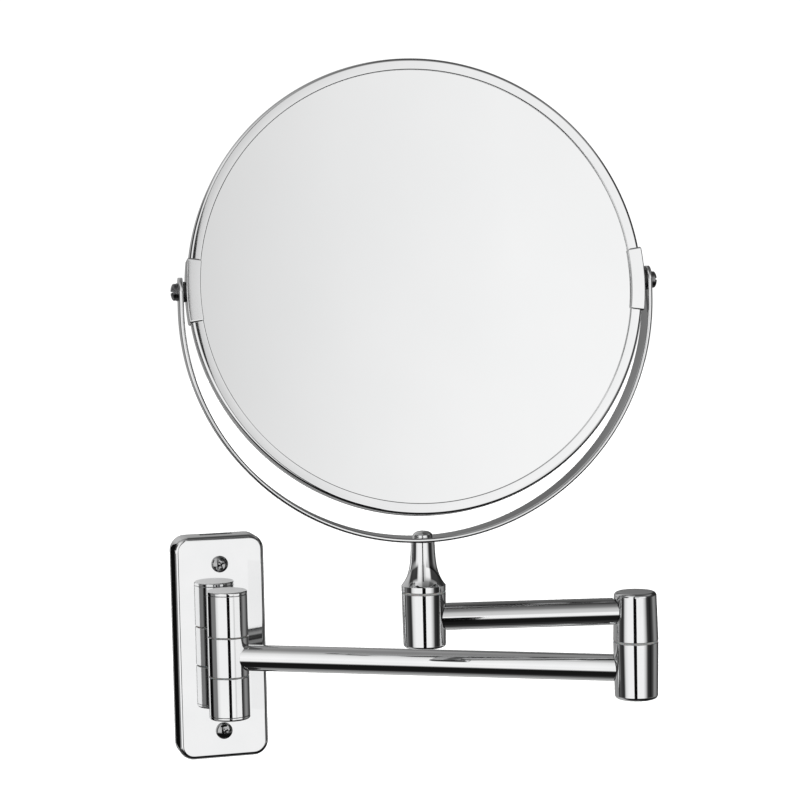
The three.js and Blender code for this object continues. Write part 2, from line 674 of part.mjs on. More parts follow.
function yokeStrip() {
  const outline = new THREE.Shape();
  const top = YOKE_LEG + YOKE_WIDTH / 2;
  const inner = YOKE_RADIUS - YOKE_SHEET;
  outline.moveTo(-YOKE_RADIUS, top);
  outline.lineTo(-YOKE_RADIUS, 0);
  outline.absarc(0, 0, YOKE_RADIUS, Math.PI, 2 * Math.PI, false);
  outline.lineTo(YOKE_RADIUS, top);
  outline.lineTo(inner, top);
  outline.lineTo(inner, 0);
  outline.absarc(0, 0, inner, 2 * Math.PI, Math.PI, true);
  outline.lineTo(-inner, top);
  const options = { depth: YOKE_WIDTH, bevelEnabled: false, curveSegments: YOKE_ROUND };
  const band = new THREE.ExtrudeGeometry(outline, options);
  const strip = solid(band.rotateX(Math.PI / 2).translate(0, YOKE_WIDTH / 2, YOKE_CENTRE));
  const side = new THREE.Shape();
  const half = YOKE_WIDTH / 2;
  side.moveTo(-half, 0);
  side.lineTo(half, 0);
  side.lineTo(half, PIVOT_HEIGHT);
  side.absarc(0, PIVOT_HEIGHT, half, 0, Math.PI, false);
  const span = 2 * YOKE_RADIUS + 10;
  const prism = new THREE.ExtrudeGeometry(side, { depth: span, bevelEnabled: false, curveSegments: 8 });
  const envelope = solid(prism.rotateX(Math.PI / 2).rotateZ(Math.PI / 2).translate(-span / 2, 0, 0));
  const pivotHole = rod(PIVOT_SHANK + 2 * FIT, -span, span, "x").translate([0, 0, PIVOT_HEIGHT]);
  const screwHole = rod(YOKE_SCREW_HOLE, YOKE_BOTTOM - OVERCUT, YOKE_FLOOR + OVERCUT);
  return cut(strip.intersect(envelope), pivotHole, screwHole);
}

function yokeScrew() {
  const seat = YOKE_FLOOR + YOKE_SCREW_CLEARANCE;
  const crown = seat + YOKE_SCREW_RISE;
  const tip = NECK_TOP - YOKE_SCREW_LENGTH;
  const profile = [
    [0, tip], [YOKE_SCREW_SHANK, tip], [YOKE_SCREW_SHANK, seat], [YOKE_SCREW_HEAD, seat],
    ...domedHead(YOKE_SCREW_HEAD, seat + HEAD_RIM, crown), [0, crown],
  ];
  return cut(turned(profile, "z", SMALL_ROUND), crossRecess("z", crown));
}

const SWIVEL_SEAT = POST_SHOULDER - SPRING_HEIGHT - 2 * GAP;

place(yoke, "swivel_neck", chrome, swivelNeck());
place(yoke, "swivel_bolt", steel,
  bolt(SMALL_SHANK, SMALL_HEAD, SMALL_HEAD_HEIGHT, SWIVEL_SEAT, SWIVEL_THREAD_TOP));
place(yoke, "swivel_disc_spring", darkSteel,
  discSpring(SMALL_BORE, POST_POCKET - SPRING_INSET, POST_SHOULDER - GAP, -1));
place(yoke, "yoke_strip", chrome, yokeStrip());
place(yoke, "yoke_screw", chrome, yokeScrew());

// ---------------------------------------------------------------- mirror head

const HALF_DEPTH = RING_DEPTH / 2;
const INNER_FACE = HALF_DEPTH - RING_SHEET;

// Channel hoop: rounded outer corners, a lip in front and one behind.
function hoop() {
  const wall = RING_RADIUS - RING_SHEET;
  const soft = RING_RADIUS - RING_CHAMFER;
  const edge = HALF_DEPTH - RING_CHAMFER;
  const profile = [
    [RING_LIP_RADIUS, -HALF_DEPTH], [soft, -HALF_DEPTH], [RING_RADIUS, -edge], [RING_RADIUS, edge],
    [soft, HALF_DEPTH], [RING_LIP_RADIUS, HALF_DEPTH], [RING_LIP_RADIUS, INNER_FACE], [wall, INNER_FACE],
    [wall, -INNER_FACE], [RING_LIP_RADIUS, -INNER_FACE], [RING_LIP_RADIUS, -HALF_DEPTH],
  ];
  return turned(profile, "y", RING_ROUND);
}

function halfHoop(sign) {
  const size = 3 * RING_RADIUS;
  const other = block(size, size, size, 0, 0, sign * (GAP / 2 - size / 2));
  const pivotHole = rod(PIVOT_SHANK + FIT, -size, size, "x");
  return cut(hoop(), other, pivotHole);
}

// Clip bent round the hoop over its joint, with the hole that the pivot screw is threaded into.
function pivotSleeve(sign) {
  const inner = RING_RADIUS + SLEEVE_GAP;
  const outer = inner + SLEEVE_SHEET;
  const face = HALF_DEPTH + SLEEVE_GAP;
  const back = face + SLEEVE_SHEET;
  const edge = RING_LIP_RADIUS - SLEEVE_GAP;
  const profile = [
    [edge, -back], [outer, -back], [outer, back], [edge, back], [edge, face], [inner, face],
    [inner, -face], [edge, -face], [edge, -back],
  ];
  const reach = 20;
  const window = block(reach, RING_DEPTH * 3, SLEEVE_LENGTH, sign * RING_RADIUS, 0, 0);
  const hole = rod(PIVOT_SHANK + GAP, -2 * RING_RADIUS, 2 * RING_RADIUS, "x");
  return cut(turned(profile, "y", RING_ROUND).intersect(window), hole);
}

function flatGlass() {
  return rod(GLASS_RADIUS, -INNER_FACE + GAP / 2, -INNER_FACE + GAP / 2 + GLASS_SHEET, "y", RING_ROUND);
}

// The magnifying glass is a shallow dish, hollow side out.
function dishedGlass() {
  const rim = INNER_FACE - GAP / 2;
  const profile = [];
  const steps = 3;
  for (let i = 0; i <= steps; i += 1) {
    const radius = (GLASS_RADIUS * i) / steps;
    profile.push([radius, rim - GLASS_HOLLOW * (1 - (i / steps) ** 2)]);
  }
  const back = [...profile].reverse().map(([radius, along]) => [radius, along - GLASS_SHEET]);
  return turned([...profile, ...back], "y", RING_ROUND);
}

function backingCard() {
  const from = -INNER_FACE + GAP / 2 + GLASS_SHEET + CARD_GAP;
  return rod(GLASS_RADIUS - CARD_INSET, from, from + CARD_SHEET, "y", ROUND);
}

const SLEEVE_FACE = RING_RADIUS + SLEEVE_GAP + SLEEVE_SHEET;
const YOKE_INNER = YOKE_RADIUS - YOKE_SHEET;

function alongPivot(sign, from, to) {
  return sign > 0 ? [from, to] : [-to, -from];
}

function pivotScrew(sign) {
  const seat = YOKE_RADIUS + PIVOT_WASHER + 2 * GAP;
  const tip = RING_RADIUS - PIVOT_TIP_INSET;
  const crown = seat + PIVOT_HEAD_HEIGHT;
  const profile = [
    [0, tip], [PIVOT_SHANK, tip], [PIVOT_SHANK, seat], [PIVOT_HEAD, seat],
    ...domedHead(PIVOT_HEAD, seat + PIVOT_HEAD_RIM, crown, 5), [0, crown],
  ];
  const slot = block(2 * PIVOT_SLOT_DEPTH, 3 * PIVOT_HEAD, PIVOT_SLOT_WIDTH, crown, 0, 0);
  const screw = cut(turned(profile, "x", SMALL_ROUND), slot);
  return sign > 0 ? screw : screw.rotate([0, 0, 180]);
}

place(mirrorHead, "hoop_upper", chrome, halfHoop(1));
place(mirrorHead, "hoop_lower", chrome, halfHoop(-1));
place(mirrorHead, "glass_plain", mirrorGlass, flatGlass());
place(mirrorHead, "glass_magnifying", mirrorGlass, dishedGlass());
place(mirrorHead, "backing_card", card, backingCard());
for (const [side, sign] of [["right", 1], ["left", -1]]) {
  const [innerFrom, innerTo] = alongPivot(sign, SLEEVE_FACE + GAP, YOKE_INNER - GAP);
  const [outerFrom, outerTo] = alongPivot(sign, YOKE_RADIUS + GAP, YOKE_RADIUS + GAP + PIVOT_WASHER);
  place(mirrorHead, `pivot_sleeve_${side}`, chrome, pivotSleeve(sign));
  place(mirrorHead, `pivot_spacer_${side}`, blackPlastic,
    sleeveRing(PIVOT_BORE, PIVOT_SPACER, innerFrom, innerTo, "x"));
  place(mirrorHead, `pivot_washer_${side}`, darkSteel,
    sleeveRing(PIVOT_BORE, PIVOT_HEAD + PIVOT_WASHER_RIM, outerFrom, outerTo, "x"));
  place(mirrorHead, `pivot_screw_${side}`, darkSteel, pivotScrew(sign));
}

export default mirrorAssembly;
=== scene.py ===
"""Extendable shaving mirror: fine meshes, materials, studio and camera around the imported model.

Shapes are drawn in millimetres in the frame of the body they belong to, then scaled to metres and put in place.
"""

import json
import math

import bmesh
import bpy
from mathutils import Matrix, Vector


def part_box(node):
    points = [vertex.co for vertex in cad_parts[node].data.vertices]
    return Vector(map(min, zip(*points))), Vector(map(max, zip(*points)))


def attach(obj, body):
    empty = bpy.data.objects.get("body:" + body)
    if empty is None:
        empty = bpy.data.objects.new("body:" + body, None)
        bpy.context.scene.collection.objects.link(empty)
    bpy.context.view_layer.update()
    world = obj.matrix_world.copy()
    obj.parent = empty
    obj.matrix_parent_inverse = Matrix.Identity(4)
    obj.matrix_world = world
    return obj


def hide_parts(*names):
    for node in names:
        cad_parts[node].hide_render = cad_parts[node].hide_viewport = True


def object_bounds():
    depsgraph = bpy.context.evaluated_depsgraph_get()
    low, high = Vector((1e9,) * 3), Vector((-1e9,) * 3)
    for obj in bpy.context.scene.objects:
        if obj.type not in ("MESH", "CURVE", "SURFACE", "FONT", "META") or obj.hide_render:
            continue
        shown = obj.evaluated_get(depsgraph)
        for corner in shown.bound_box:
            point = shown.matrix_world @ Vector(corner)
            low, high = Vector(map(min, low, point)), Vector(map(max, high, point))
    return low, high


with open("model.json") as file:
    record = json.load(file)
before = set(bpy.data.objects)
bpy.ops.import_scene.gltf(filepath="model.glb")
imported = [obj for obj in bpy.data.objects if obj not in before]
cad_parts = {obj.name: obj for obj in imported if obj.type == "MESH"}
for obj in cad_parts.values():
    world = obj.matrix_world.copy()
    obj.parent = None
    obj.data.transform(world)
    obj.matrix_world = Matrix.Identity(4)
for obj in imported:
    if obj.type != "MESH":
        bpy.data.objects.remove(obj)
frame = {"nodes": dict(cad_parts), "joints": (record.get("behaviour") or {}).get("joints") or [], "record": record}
cad_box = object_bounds()

# ---------------------------------------------------------------- dimensions, in millimetres

MM = 0.001

# Wall plate
PLATE_CORNER = 7
PLATE_SHOULDER = 2
PLATE_SHEET = 1.2
NOTCH_WIDTH = 15.3
NOTCH_DEPTH = 6.5
BRACKET_HEIGHT = 94
BRACKET_CORNER = 4
TONGUE_WIDTH = 14.7
STRAP_CORNER = 3
COVER_SCREW_HEAD = 3.9
COVER_SCREW_SHANK = 1.6
COVER_SCREW_HOLE = 2.2
COVER_SCREW_TURN = 28  # degrees, of its cross
LUG_SCREW_SHANK = 2.4
LUG_SCREW_HEAD = 4.2
LUG_SCREW_HEAD_HEIGHT = 3
LUG_SCREW_HOLE = 2.7
LUG_SOCKET = 2.3
LUG_SOCKET_DEPTH = 1.5
LUG_THREAD_DEPTH = 21
LUG_WIDTH = 9
LUG_HEIGHT = 13
LUG_CORNER = 1.2
LUG_INSIDE_BARREL = 2
PILLAR = 3.6
PILLAR_FOOT = 2.4
PILLAR_BORE = 1.75
PILLAR_PLAY = 0.05
WALL_HOLE = 2.6
WALL_HOLE_HEIGHT = 28

# Hinge and arms
BARREL = 9.45
BARREL_CHAMFER = 0.22
HINGE_CAP_RIM = 1.6
UPPER_CAP_EDGE = 0.55
LOWER_CAP_EDGE = 0.9
HINGE_BORE = 3.2
BUSH_BORE = 4.2
POCKET = 6.5
TUBE = 6
TUBE_WALL = 1
SPIGOT = 4.85
SPIGOT_START = 5
SPIGOT_LENGTH = 20
SEAM_EDGE = 0.2
SEAM_RING_INSET = 0.12
SEAM_RING_EDGE = 0.1
ELBOW_WIDE = 10
ELBOW_TOP_RADIUS = 9.4
ELBOW_BOTTOM_RADIUS = 9.55
ELBOW_EDGE = 1.8
HIGH_POCKET = 9.3
LOW_POCKET = 9.4
ELBOW_HIGH_POCKET = 8.4
ELBOW_LOW_POCKET = 7.4

# Post and neck
POST_RADIUS = 9.75
POST_BOTTOM_RADIUS = 9.35
POST_EDGE = 1.2
POST_POCKET = 6
POST_POCKET_DEPTH = 9.7
POST_BORE = 2.7
NECK_RADIUS = 5.15
NECK_FLARE = 5.2
NECK_BAND = 2.6
SWIVEL_BORE = 2.5
SWIVEL_THREAD = 10.9
YOKE_THREAD = 2.05
YOKE_THREAD_DEPTH = 9

# Yoke
YOKE_SHEET = 2
YOKE_WIDTH = 12.5
YOKE_EDGE = 0.9
YOKE_TIP_START = math.radians(8)
YOKE_SCREW_HEAD = 4.4
YOKE_SCREW_SHANK = 1.9
YOKE_SCREW_HOLE = 2.1

# Mirror head
RING_RADIUS = 100
RING_DEPTH = 9
RING_LIP = 94.75
RING_SHEET = 0.9
LIP_EDGE = 0.5
LIP_BACK_EDGE = 0.1
RING_CORNER = 1.6
HALF_GAP = 0.05
GLASS_RADIUS = 97.4
GLASS_SHEET = 1.7
FRONT_GLASS_GAP = 0.15
BACK_GLASS_GAP = 0.05
GLASS_HOLLOW = 3
GLASS_CHAMFER = 0.25
SLEEVE_LENGTH = 28
SLEEVE_HALF_ANGLE = SLEEVE_LENGTH / 2 / RING_RADIUS
SLEEVE_SHEET = 0.7
SLEEVE_GAP = 0.15
SLEEVE_EDGE = 0.6
SLEEVE_CORNER = 1.1
SLEEVE_OUTER_EDGE = 0.6
PIVOT_BORE = 2
PIVOT_SHANK = 1.75
YOKE_PLAY = 0.3
HOOP_PLAY = 0.15
SLEEVE_PLAY = 0.05
PIVOT_HEAD = 3.65
PIVOT_CROWN = 2.4
PIVOT_TIP_INSET = 2.1
PIVOT_SPACER = 4.4
PIVOT_WASHER = 0.8
PIVOT_WASHER_BRIM = 0.2

# Screw heads
SCREW_RIM = 0.5
SCREW_TIP_EDGE = 0.3
SCREW_SEAT_EDGE = 0.12
RECESS_SPAN = 4.1
RECESS_SLOT = 1.0
RECESS_DEPTH = 2.2
SLOT_WIDTH = 1.1
SLOT_DEPTH = 1.2

# Fineness
AROUND = 144
SMALL_AROUND = 64
RING_AROUND = 360
CORNER_STEPS = 7
OVERCUT = 1
HAIRLINE = 0.02
MERGE_DISTANCE = 1e-4
SHORTEST_EDGE = 1e-5
ON_AXIS = 1e-6
SHARP_ANGLE = math.radians(38)
FLAT_FACE_WEIGHT = 80

SIDES = ("upper", "lower")

# Camera: place from the middle of the wall plate's back, and angles in degrees
CAMERA_PLACE = (-212.35, -1105.88, 204.52)
CAMERA_AZIMUTH = 15.41
CAMERA_DOWN = 4.64
CAMERA_ROLL = -1.21
CAMERA_LENS = 108
CAMERA_SENSOR = 36
CAMERA_CLIP_METRES = 50

# ---------------------------------------------------------------- places, from the frame


def joint_place(name):
    joint = next(j for j in frame["joints"] if j["name"] == name)
    return Vector(joint["pos_m"]), Vector(joint["axis"]).normalized()


def axes_at(origin, x_axis, y_axis):
    z_axis = x_axis.cross(y_axis)
    turn = Matrix((x_axis, y_axis, z_axis)).transposed()
    return Matrix.Translation(origin) @ turn.to_4x4()


def upright_axes(origin, towards):
    x_axis = Vector((towards.x, towards.y, 0)).normalized()
    return axes_at(origin, x_axis, Vector((-x_axis.y, x_axis.x, 0)))


def heights(node):
    """Lowest and highest point of a CAD node, in millimetres."""
    low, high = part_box(node)
    return low.z / MM, high.z / MM


def middle_height(node):
    low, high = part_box(node)
    return (low.z + high.z) / 2 / MM


def size_of(node):
    low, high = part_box(node)
    return (high - low) / MM


hinge_at, _ = joint_place("wall_hinge")
elbow_at, _ = joint_place("elbow_hinge")
post_at, _ = joint_place("post_swivel")
pivot_at, tilt_axis = joint_place("mirror_tilt")
glass_low, glass_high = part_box("glass_plain")
behind_glass = (pivot_at - (glass_low + glass_high) / 2).normalized()

WALL = Matrix.Identity(4)
HINGE = Matrix.Translation(hinge_at)
LONG = upright_axes(hinge_at, elbow_at - hinge_at)
SHORT = upright_axes(elbow_at, post_at - elbow_at)
YOKE = upright_axes(post_at, tilt_axis)
MIRROR = axes_at(pivot_at, tilt_axis, behind_glass)

LONG_ARM = (elbow_at - hinge_at).length / MM
SHORT_ARM = (post_at - elbow_at).length / MM
HINGE_OFFSET = -hinge_at.y / MM
PLATE_WIDTH, PLATE_DEPTH, PLATE_HEIGHT = size_of("cover_plate")
YOKE_BOTTOM = heights("yoke_strip")[0]
PIVOT_HEIGHT = pivot_at.z / MM
YOKE_HALF_SPAN = 104
YOKE_CENTRE = YOKE_BOTTOM + YOKE_HALF_SPAN

# ---------------------------------------------------------------- mesh helpers


def fillet(points, closed=False, steps=CORNER_STEPS):
    """An outline of (x, y) or (x, y, radius) points, with an arc at each point that has a radius."""
    count = len(points)
    outline = []
    for i, (x, y, *rest) in enumerate(points):
        radius = rest[0] if rest else 0
        here = Vector((x, y))
        at_end = not closed and i in (0, count - 1)
        if radius <= 0 or at_end:
            outline.append(here)
            continue
        back = (Vector(points[i - 1][:2]) - here).normalized()
        ahead = (Vector(points[(i + 1) % count][:2]) - here).normalized()
        half = back.angle(ahead) / 2
        centre = here + (back + ahead).normalized() * (radius / math.sin(half))
        start = here + back * (radius / math.tan(half)) - centre
        end = here + ahead * (radius / math.tan(half)) - centre
        turn = start.angle_signed(end)
        for k in range(steps + 1):
            arm = start.copy()
            arm.rotate(Matrix.Rotation(-turn * k / steps, 2))
            outline.append(centre + arm)
    return outline


def loft(rings, caps=True, looped=False):
    """A closed body from rings with the same number of points; looped joins the last ring to the first."""
    bm = bmesh.new()
    loops = [[bm.verts.new(point) for point in ring] for ring in rings]
    pairs = list(zip(loops, loops[1:]))
    if looped:
        pairs.append((loops[-1], loops[0]))
    for one, two in pairs:
        for i in range(len(one)):
            j = (i + 1) % len(one)
            bm.faces.new((one[i], one[j], two[j], two[i]))
    if caps and not looped:
        bm.faces.new(loops[0])
        bm.faces.new(list(reversed(loops[-1])))
    return body_from(bm)


def merge_doubles(bm):
    bmesh.ops.remove_doubles(bm, verts=bm.verts, dist=MERGE_DISTANCE)
    bmesh.ops.dissolve_degenerate(bm, edges=bm.edges, dist=SHORTEST_EDGE)


def body_from(bm):
    merge_doubles(bm)
    bmesh.ops.recalc_face_normals(bm, faces=bm.faces)
    mesh = bpy.data.meshes.new("shape")
    bm.to_mesh(mesh)
    bm.free()
    body = bpy.data.objects.new("shape", mesh)
    bpy.context.scene.collection.objects.link(body)
    return body


AXIS_TURNS = {
    "z": Matrix.Identity(4),
    "x": Matrix.Rotation(math.pi / 2, 4, "Y"),
    "y": Matrix.Rotation(-math.pi / 2, 4, "X"),
}


def turned(profile, axis="z", around=AROUND, looped=False):
    """A turned body. Profile points are (radius, distance along the axis), with an optional corner radius."""
    outline = fillet(profile, closed=looped)
    bm = bmesh.new()
    columns = []
    for radius, along in outline:
        if radius < ON_AXIS:
            columns.append([bm.verts.new((0, 0, along))])
            continue
        angles = [2 * math.pi * k / around for k in range(around)]
        columns.append([bm.verts.new((radius * math.cos(a), radius * math.sin(a), along)) for a in angles])
    pairs = list(zip(columns, columns[1:]))
    if looped:
        pairs.append((columns[-1], columns[0]))
    for one, two in pairs:
        join_columns(bm, one, two, around)
    bm.transform(AXIS_TURNS[axis])
    return body_from(bm)


def join_columns(bm, one, two, around):
    for k in range(around):
        n = (k + 1) % around
        if len(one) == 1 and len(two) == 1:
            return
        if len(one) == 1:
            bm.faces.new((one[0], two[n], two[k]))
        elif len(two) == 1:
            bm.faces.new((one[k], one[n], two[0]))
        else:
            bm.faces.new((one[k], one[n], two[n], two[k]))


def rod(radius, low, high, axis="z", around=SMALL_AROUND, at=(0, 0, 0)):
    body = turned([(0, low), (radius, low), (radius, high), (0, high)], axis, around)
    return moved(body, at)


def washer(inner, outer, low, high, soft=0.0, axis="z", around=AROUND):
    profile = [(inner, low), (outer, low, soft), (outer, high, soft), (inner, high)]
    return turned(profile, axis, around, looped=True)


def moved(body, offset=(0, 0, 0), turn=None):
    place = Matrix.Translation(offset)
    body.data.transform(place @ turn if turn else place)
    return body


def flat_outline(width, height, corner):
    x, z = width / 2, height / 2
    return fillet([(-x, -z, corner), (x, -z, corner), (x, z, corner), (-x, z, corner)], closed=True)


def slab(width, height, corner, near, far, soft=0.3):
    """A flat plate parallel to the wall, between two values of Y, with softened edges."""
    sign = 1 if far > near else -1
    rings = []
    for inset, shift in edge_steps(soft):
        rings.append((inset, near + sign * shift))
    for inset, shift in reversed(edge_steps(soft)):
        rings.append((inset, far - sign * shift))
    loops = []
    for inset, y in rings:
        outline = flat_outline(width - 2 * inset, height - 2 * inset, corner - inset)
        loops.append([(p.x, y, p.y) for p in outline])
    return loft(loops)


def edge_steps(radius, steps=4):
    """(inset, distance from the face) of a rounded edge, from the face to the side."""
    found = []
    for k in range(steps + 1):
        angle = (math.pi / 2) * k / steps
        found.append((radius * (1 - math.sin(angle)), radius * (1 - math.cos(angle))))
    return found


def apply_modifiers(body):
    depsgraph = bpy.context.evaluated_depsgraph_get()
    mesh = bpy.data.meshes.new_from_object(body.evaluated_get(depsgraph))
    body.modifiers.clear()
    body.data = mesh


def boolean(body, operation, tools):
    for tool in tools:
        step = body.modifiers.new("step", "BOOLEAN")
        step.operation = operation
        step.solver = "EXACT"
        step.object = tool
    apply_modifiers(body)
    for tool in tools:
        bpy.data.objects.remove(tool)
    return body


def cut(body, *tools):
    return boolean(body, "DIFFERENCE", tools)


def join(body, *others):
    return boolean(body, "UNION", others)


def mark_sharp(mesh):
    bm = bmesh.new()
    bm.from_mesh(mesh)
    merge_doubles(bm)
    for face in bm.faces:
        face.smooth = True
    for edge in bm.edges:
        edge.smooth = len(edge.link_faces) == 2 and edge.calc_face_angle(0) < SHARP_ANGLE
    bm.to_mesh(mesh)
    bm.free()


def piece(name, body, place, rides, material):
    """Finishes a drawn body: smooth shading with flat faces kept flat, its place, body and material, and hides its
    CAD node.
    """
    mark_sharp(body.data)
    body.name = name
    body.data.transform(place @ Matrix.Scale(MM, 4))
    weighted = body.modifiers.new("flat_faces", "WEIGHTED_NORMAL")
    weighted.keep_sharp = True
    weighted.weight = FLAT_FACE_WEIGHT
    apply_modifiers(body)
    body.data.name = name
    body.data.materials.clear()
    body.data.materials.append(material)
    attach(body, rides)
    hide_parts(name)
    return body


# ---------------------------------------------------------------- materials


# The part of a noise texture's range that its values mostly fill
NOISE_LOW = 0.3
NOISE_HIGH = 0.7


class Nodes:
    """A material's node tree, with short calls for the few nodes that these finishes use."""

    def __init__(self, name):
        self.material = bpy.data.materials.new(name)
        self.material.use_nodes = True
        self.tree = self.material.node_tree
        self.shader = self.tree.nodes["Principled BSDF"]
        self.coordinates = self.tree.nodes.new("ShaderNodeTexCoord").outputs["Object"]

    def set(self, **values):
        for name, value in values.items():
            self.shader.inputs[name.replace("_", " ")].default_value = value

    def stretched(self, scale):
        mapping = self.tree.nodes.new("ShaderNodeMapping")
        mapping.inputs["Scale"].default_value = scale
        self.tree.links.new(self.coordinates, mapping.inputs["Vector"])
        return mapping.outputs["Vector"]

    def noise(self, scale, detail=3.0, vector=None):
        node = self.tree.nodes.new("ShaderNodeTexNoise")
        node.inputs["Scale"].default_value = scale
        node.inputs["Detail"].default_value = detail
        self.tree.links.new(vector or self.coordinates, node.inputs["Vector"])
        return node.outputs["Fac"]

    def ranged(self, value, low, high):
        node = self.tree.nodes.new("ShaderNodeMapRange")
        node.inputs["From Min"].default_value = NOISE_LOW
        node.inputs["From Max"].default_value = NOISE_HIGH
        node.inputs["To Min"].default_value = low
        node.inputs["To Max"].default_value = high
        self.tree.links.new(value, node.inputs["Value"])
        return node.outputs["Result"]

    def colours(self, value, dark, light):
        node = self.tree.nodes.new("ShaderNodeValToRGB")
        stops = ((NOISE_LOW, dark), (NOISE_HIGH, light))
        for element, (position, colour) in zip(node.color_ramp.elements, stops):
            element.position = position
            element.color = (*colour, 1)
        self.tree.links.new(value, node.inputs["Fac"])
        self.link(node.outputs["Color"], "Base Color")

    def bump(self, value, distance, strength=1.0):
        node = self.tree.nodes.new("ShaderNodeBump")
        node.inputs["Distance"].default_value = distance
        node.inputs["Strength"].default_value = strength
        self.tree.links.new(value, node.inputs["Height"])
        self.link(node.outputs["Normal"], "Normal")

    def link(self, output, socket):
        self.tree.links.new(output, self.shader.inputs[socket])


def chrome_finish(name, tone):
    """Bright plated chrome: a hard mirror polish with the faintest waviness and smears."""
    nodes = Nodes(name)
    nodes.set(Metallic=1.0)
    smears = nodes.noise(60, 4.0)
    nodes.colours(smears, (tone * 0.995, tone, tone * 1.005), (tone * 1.035, tone * 1.037, tone * 1.04))
    nodes.link(nodes.ranged(smears, 0.025, 0.055), "Roughness")
    nodes.bump(nodes.noise(140, 2.0), 0.0000015)
    return nodes.material


def steel_finish():
    """Zinc-plated steel: grey, with a fine drawn grain and patches of dull."""
    nodes = Nodes("steel")
    nodes.set(Metallic=1.0)
    grain = nodes.noise(900, 3.0, nodes.stretched((1, 1, 0.08)))
    patches = nodes.noise(90, 5.0)
    nodes.colours(patches, (0.46, 0.47, 0.48), (0.6, 0.61, 0.62))
    nodes.link(nodes.ranged(grain, 0.28, 0.46), "Roughness")
    nodes.bump(grain, 0.000012)
    return nodes.material


def dark_steel_finish():
    """Nickelled fasteners that look dark beside the chrome."""
    nodes = Nodes("dark_steel")
    nodes.set(Metallic=1.0)
    patches = nodes.noise(260, 4.0)
    nodes.colours(patches, (0.2, 0.2, 0.205), (0.34, 0.34, 0.345))
    nodes.link(nodes.ranged(patches, 0.16, 0.32), "Roughness")
    nodes.bump(nodes.noise(1500, 2.0), 0.000008)
    return nodes.material


def nylon_finish():
    """Natural nylon washers: waxy pale grey with a little light carried inside."""
    nodes = Nodes("nylon")
    nodes.set(Subsurface_Weight=0.15, Subsurface_Scale=0.001)
    mottle = nodes.noise(420, 4.0)
    nodes.colours(mottle, (0.15, 0.15, 0.148), (0.22, 0.22, 0.215))
    nodes.link(nodes.ranged(mottle, 0.38, 0.52), "Roughness")
    nodes.bump(nodes.noise(1600, 2.0), 0.00001)
    return nodes.material


def black_plastic_finish():
    """Moulded black plastic with a fine spark-eroded texture."""
    nodes = Nodes("black_plastic")
    nodes.set(Specular_IOR_Level=0.4)
    texture = nodes.noise(2200, 3.0)
    nodes.colours(nodes.noise(300, 3.0), (0.008, 0.008, 0.008), (0.018, 0.018, 0.018))
    nodes.link(nodes.ranged(texture, 0.38, 0.55), "Roughness")
    nodes.bump(texture, 0.00002)
    return nodes.material


def mirror_glass_finish():
    """Silvered glass: an almost perfect reflection, a hair cooler than the chrome."""
    nodes = Nodes("mirror_glass")
    nodes.set(Metallic=1.0)
    film = nodes.noise(18, 3.0)
    nodes.colours(film, (0.935, 0.94, 0.942), (0.955, 0.958, 0.96))
    nodes.link(nodes.ranged(film, 0.004, 0.014), "Roughness")
    return nodes.material


def card_finish():
    """Grey-brown pressed board with short fibres."""
    nodes = Nodes("card")
    fibres = nodes.noise(1100, 6.0, nodes.stretched((1, 1, 0.3)))
    nodes.colours(fibres, (0.2, 0.16, 0.11), (0.34, 0.28, 0.2))
    nodes.link(nodes.ranged(fibres, 0.75, 0.95), "Roughness")
    nodes.bump(fibres, 0.00004)
    return nodes.material


FINISHES = {
    "chrome": chrome_finish("chrome", 0.9),
    "steel": steel_finish(),
    "dark_steel": dark_steel_finish(),
    "nylon": nylon_finish(),
    "black_plastic": black_plastic_finish(),
    "mirror_glass": mirror_glass_finish(),
    "card": card_finish(),
}
# The cover screws' chrome, dimmed to half its brightness: painted shade, a darker copy of the same chrome
SHADED_SCREW_CHROME = chrome_finish("shaded_screw_chrome", 0.5)


def add(name, body, place, rides, slot, finish=None):
    return piece(name, body, place, rides, finish or FINISHES[slot])


def finish_kept_nodes():
    """Every CAD node gets its slot's finish; the ones that a piece replaces aren't seen."""
    for row in frame["record"]["subparts"]:
        mesh = frame["nodes"][row["node"]].data
        mesh.materials.clear()
        mesh.materials.append(FINISHES[row["material_slot"]])


# ---------------------------------------------------------------- screws


def plus_outline(span, slot):
    s, w = span / 2, slot / 2
    return [
        (w, w), (w, s), (-w, s), (-w, w), (-s, w), (-s, -w),
        (-w, -w), (-w, -s), (w, -s), (w, -w), (s, -w), (s, w),
    ]


def cross_recess(face):
    """Tapered cross-shaped tool, to be cut down into a head whose crown is at this height."""
    rings = []
    for depth, span, slot in (
        (-OVERCUT, RECESS_SPAN * 1.15, RECESS_SLOT * 1.1),
        (RECESS_DEPTH, RECESS_SPAN * 0.15, RECESS_SLOT * 0.3),
    ):
        rings.append([(x, y, face - depth) for x, y in plus_outline(span, slot)])
    return loft(rings)


def domed_screw(head, rim, crown, shank, tip, recess=True):
    """A screw along +Z: seat at 0, a cylindrical rim, a domed crown, and a shank down to the tip."""
    steps = 14
    dome = []
    for k in range(steps):
        angle = (math.pi / 2) * k / steps
        dome.append((head * math.cos(angle), rim + (crown - rim) * math.sin(angle)))
    profile = [(0, tip), (shank, tip, SCREW_TIP_EDGE), (shank, 0), (head, 0, SCREW_SEAT_EDGE), *dome, (0, crown)]
    body = turned(profile, "z", SMALL_AROUND)
    return cut(body, cross_recess(crown)) if recess else body


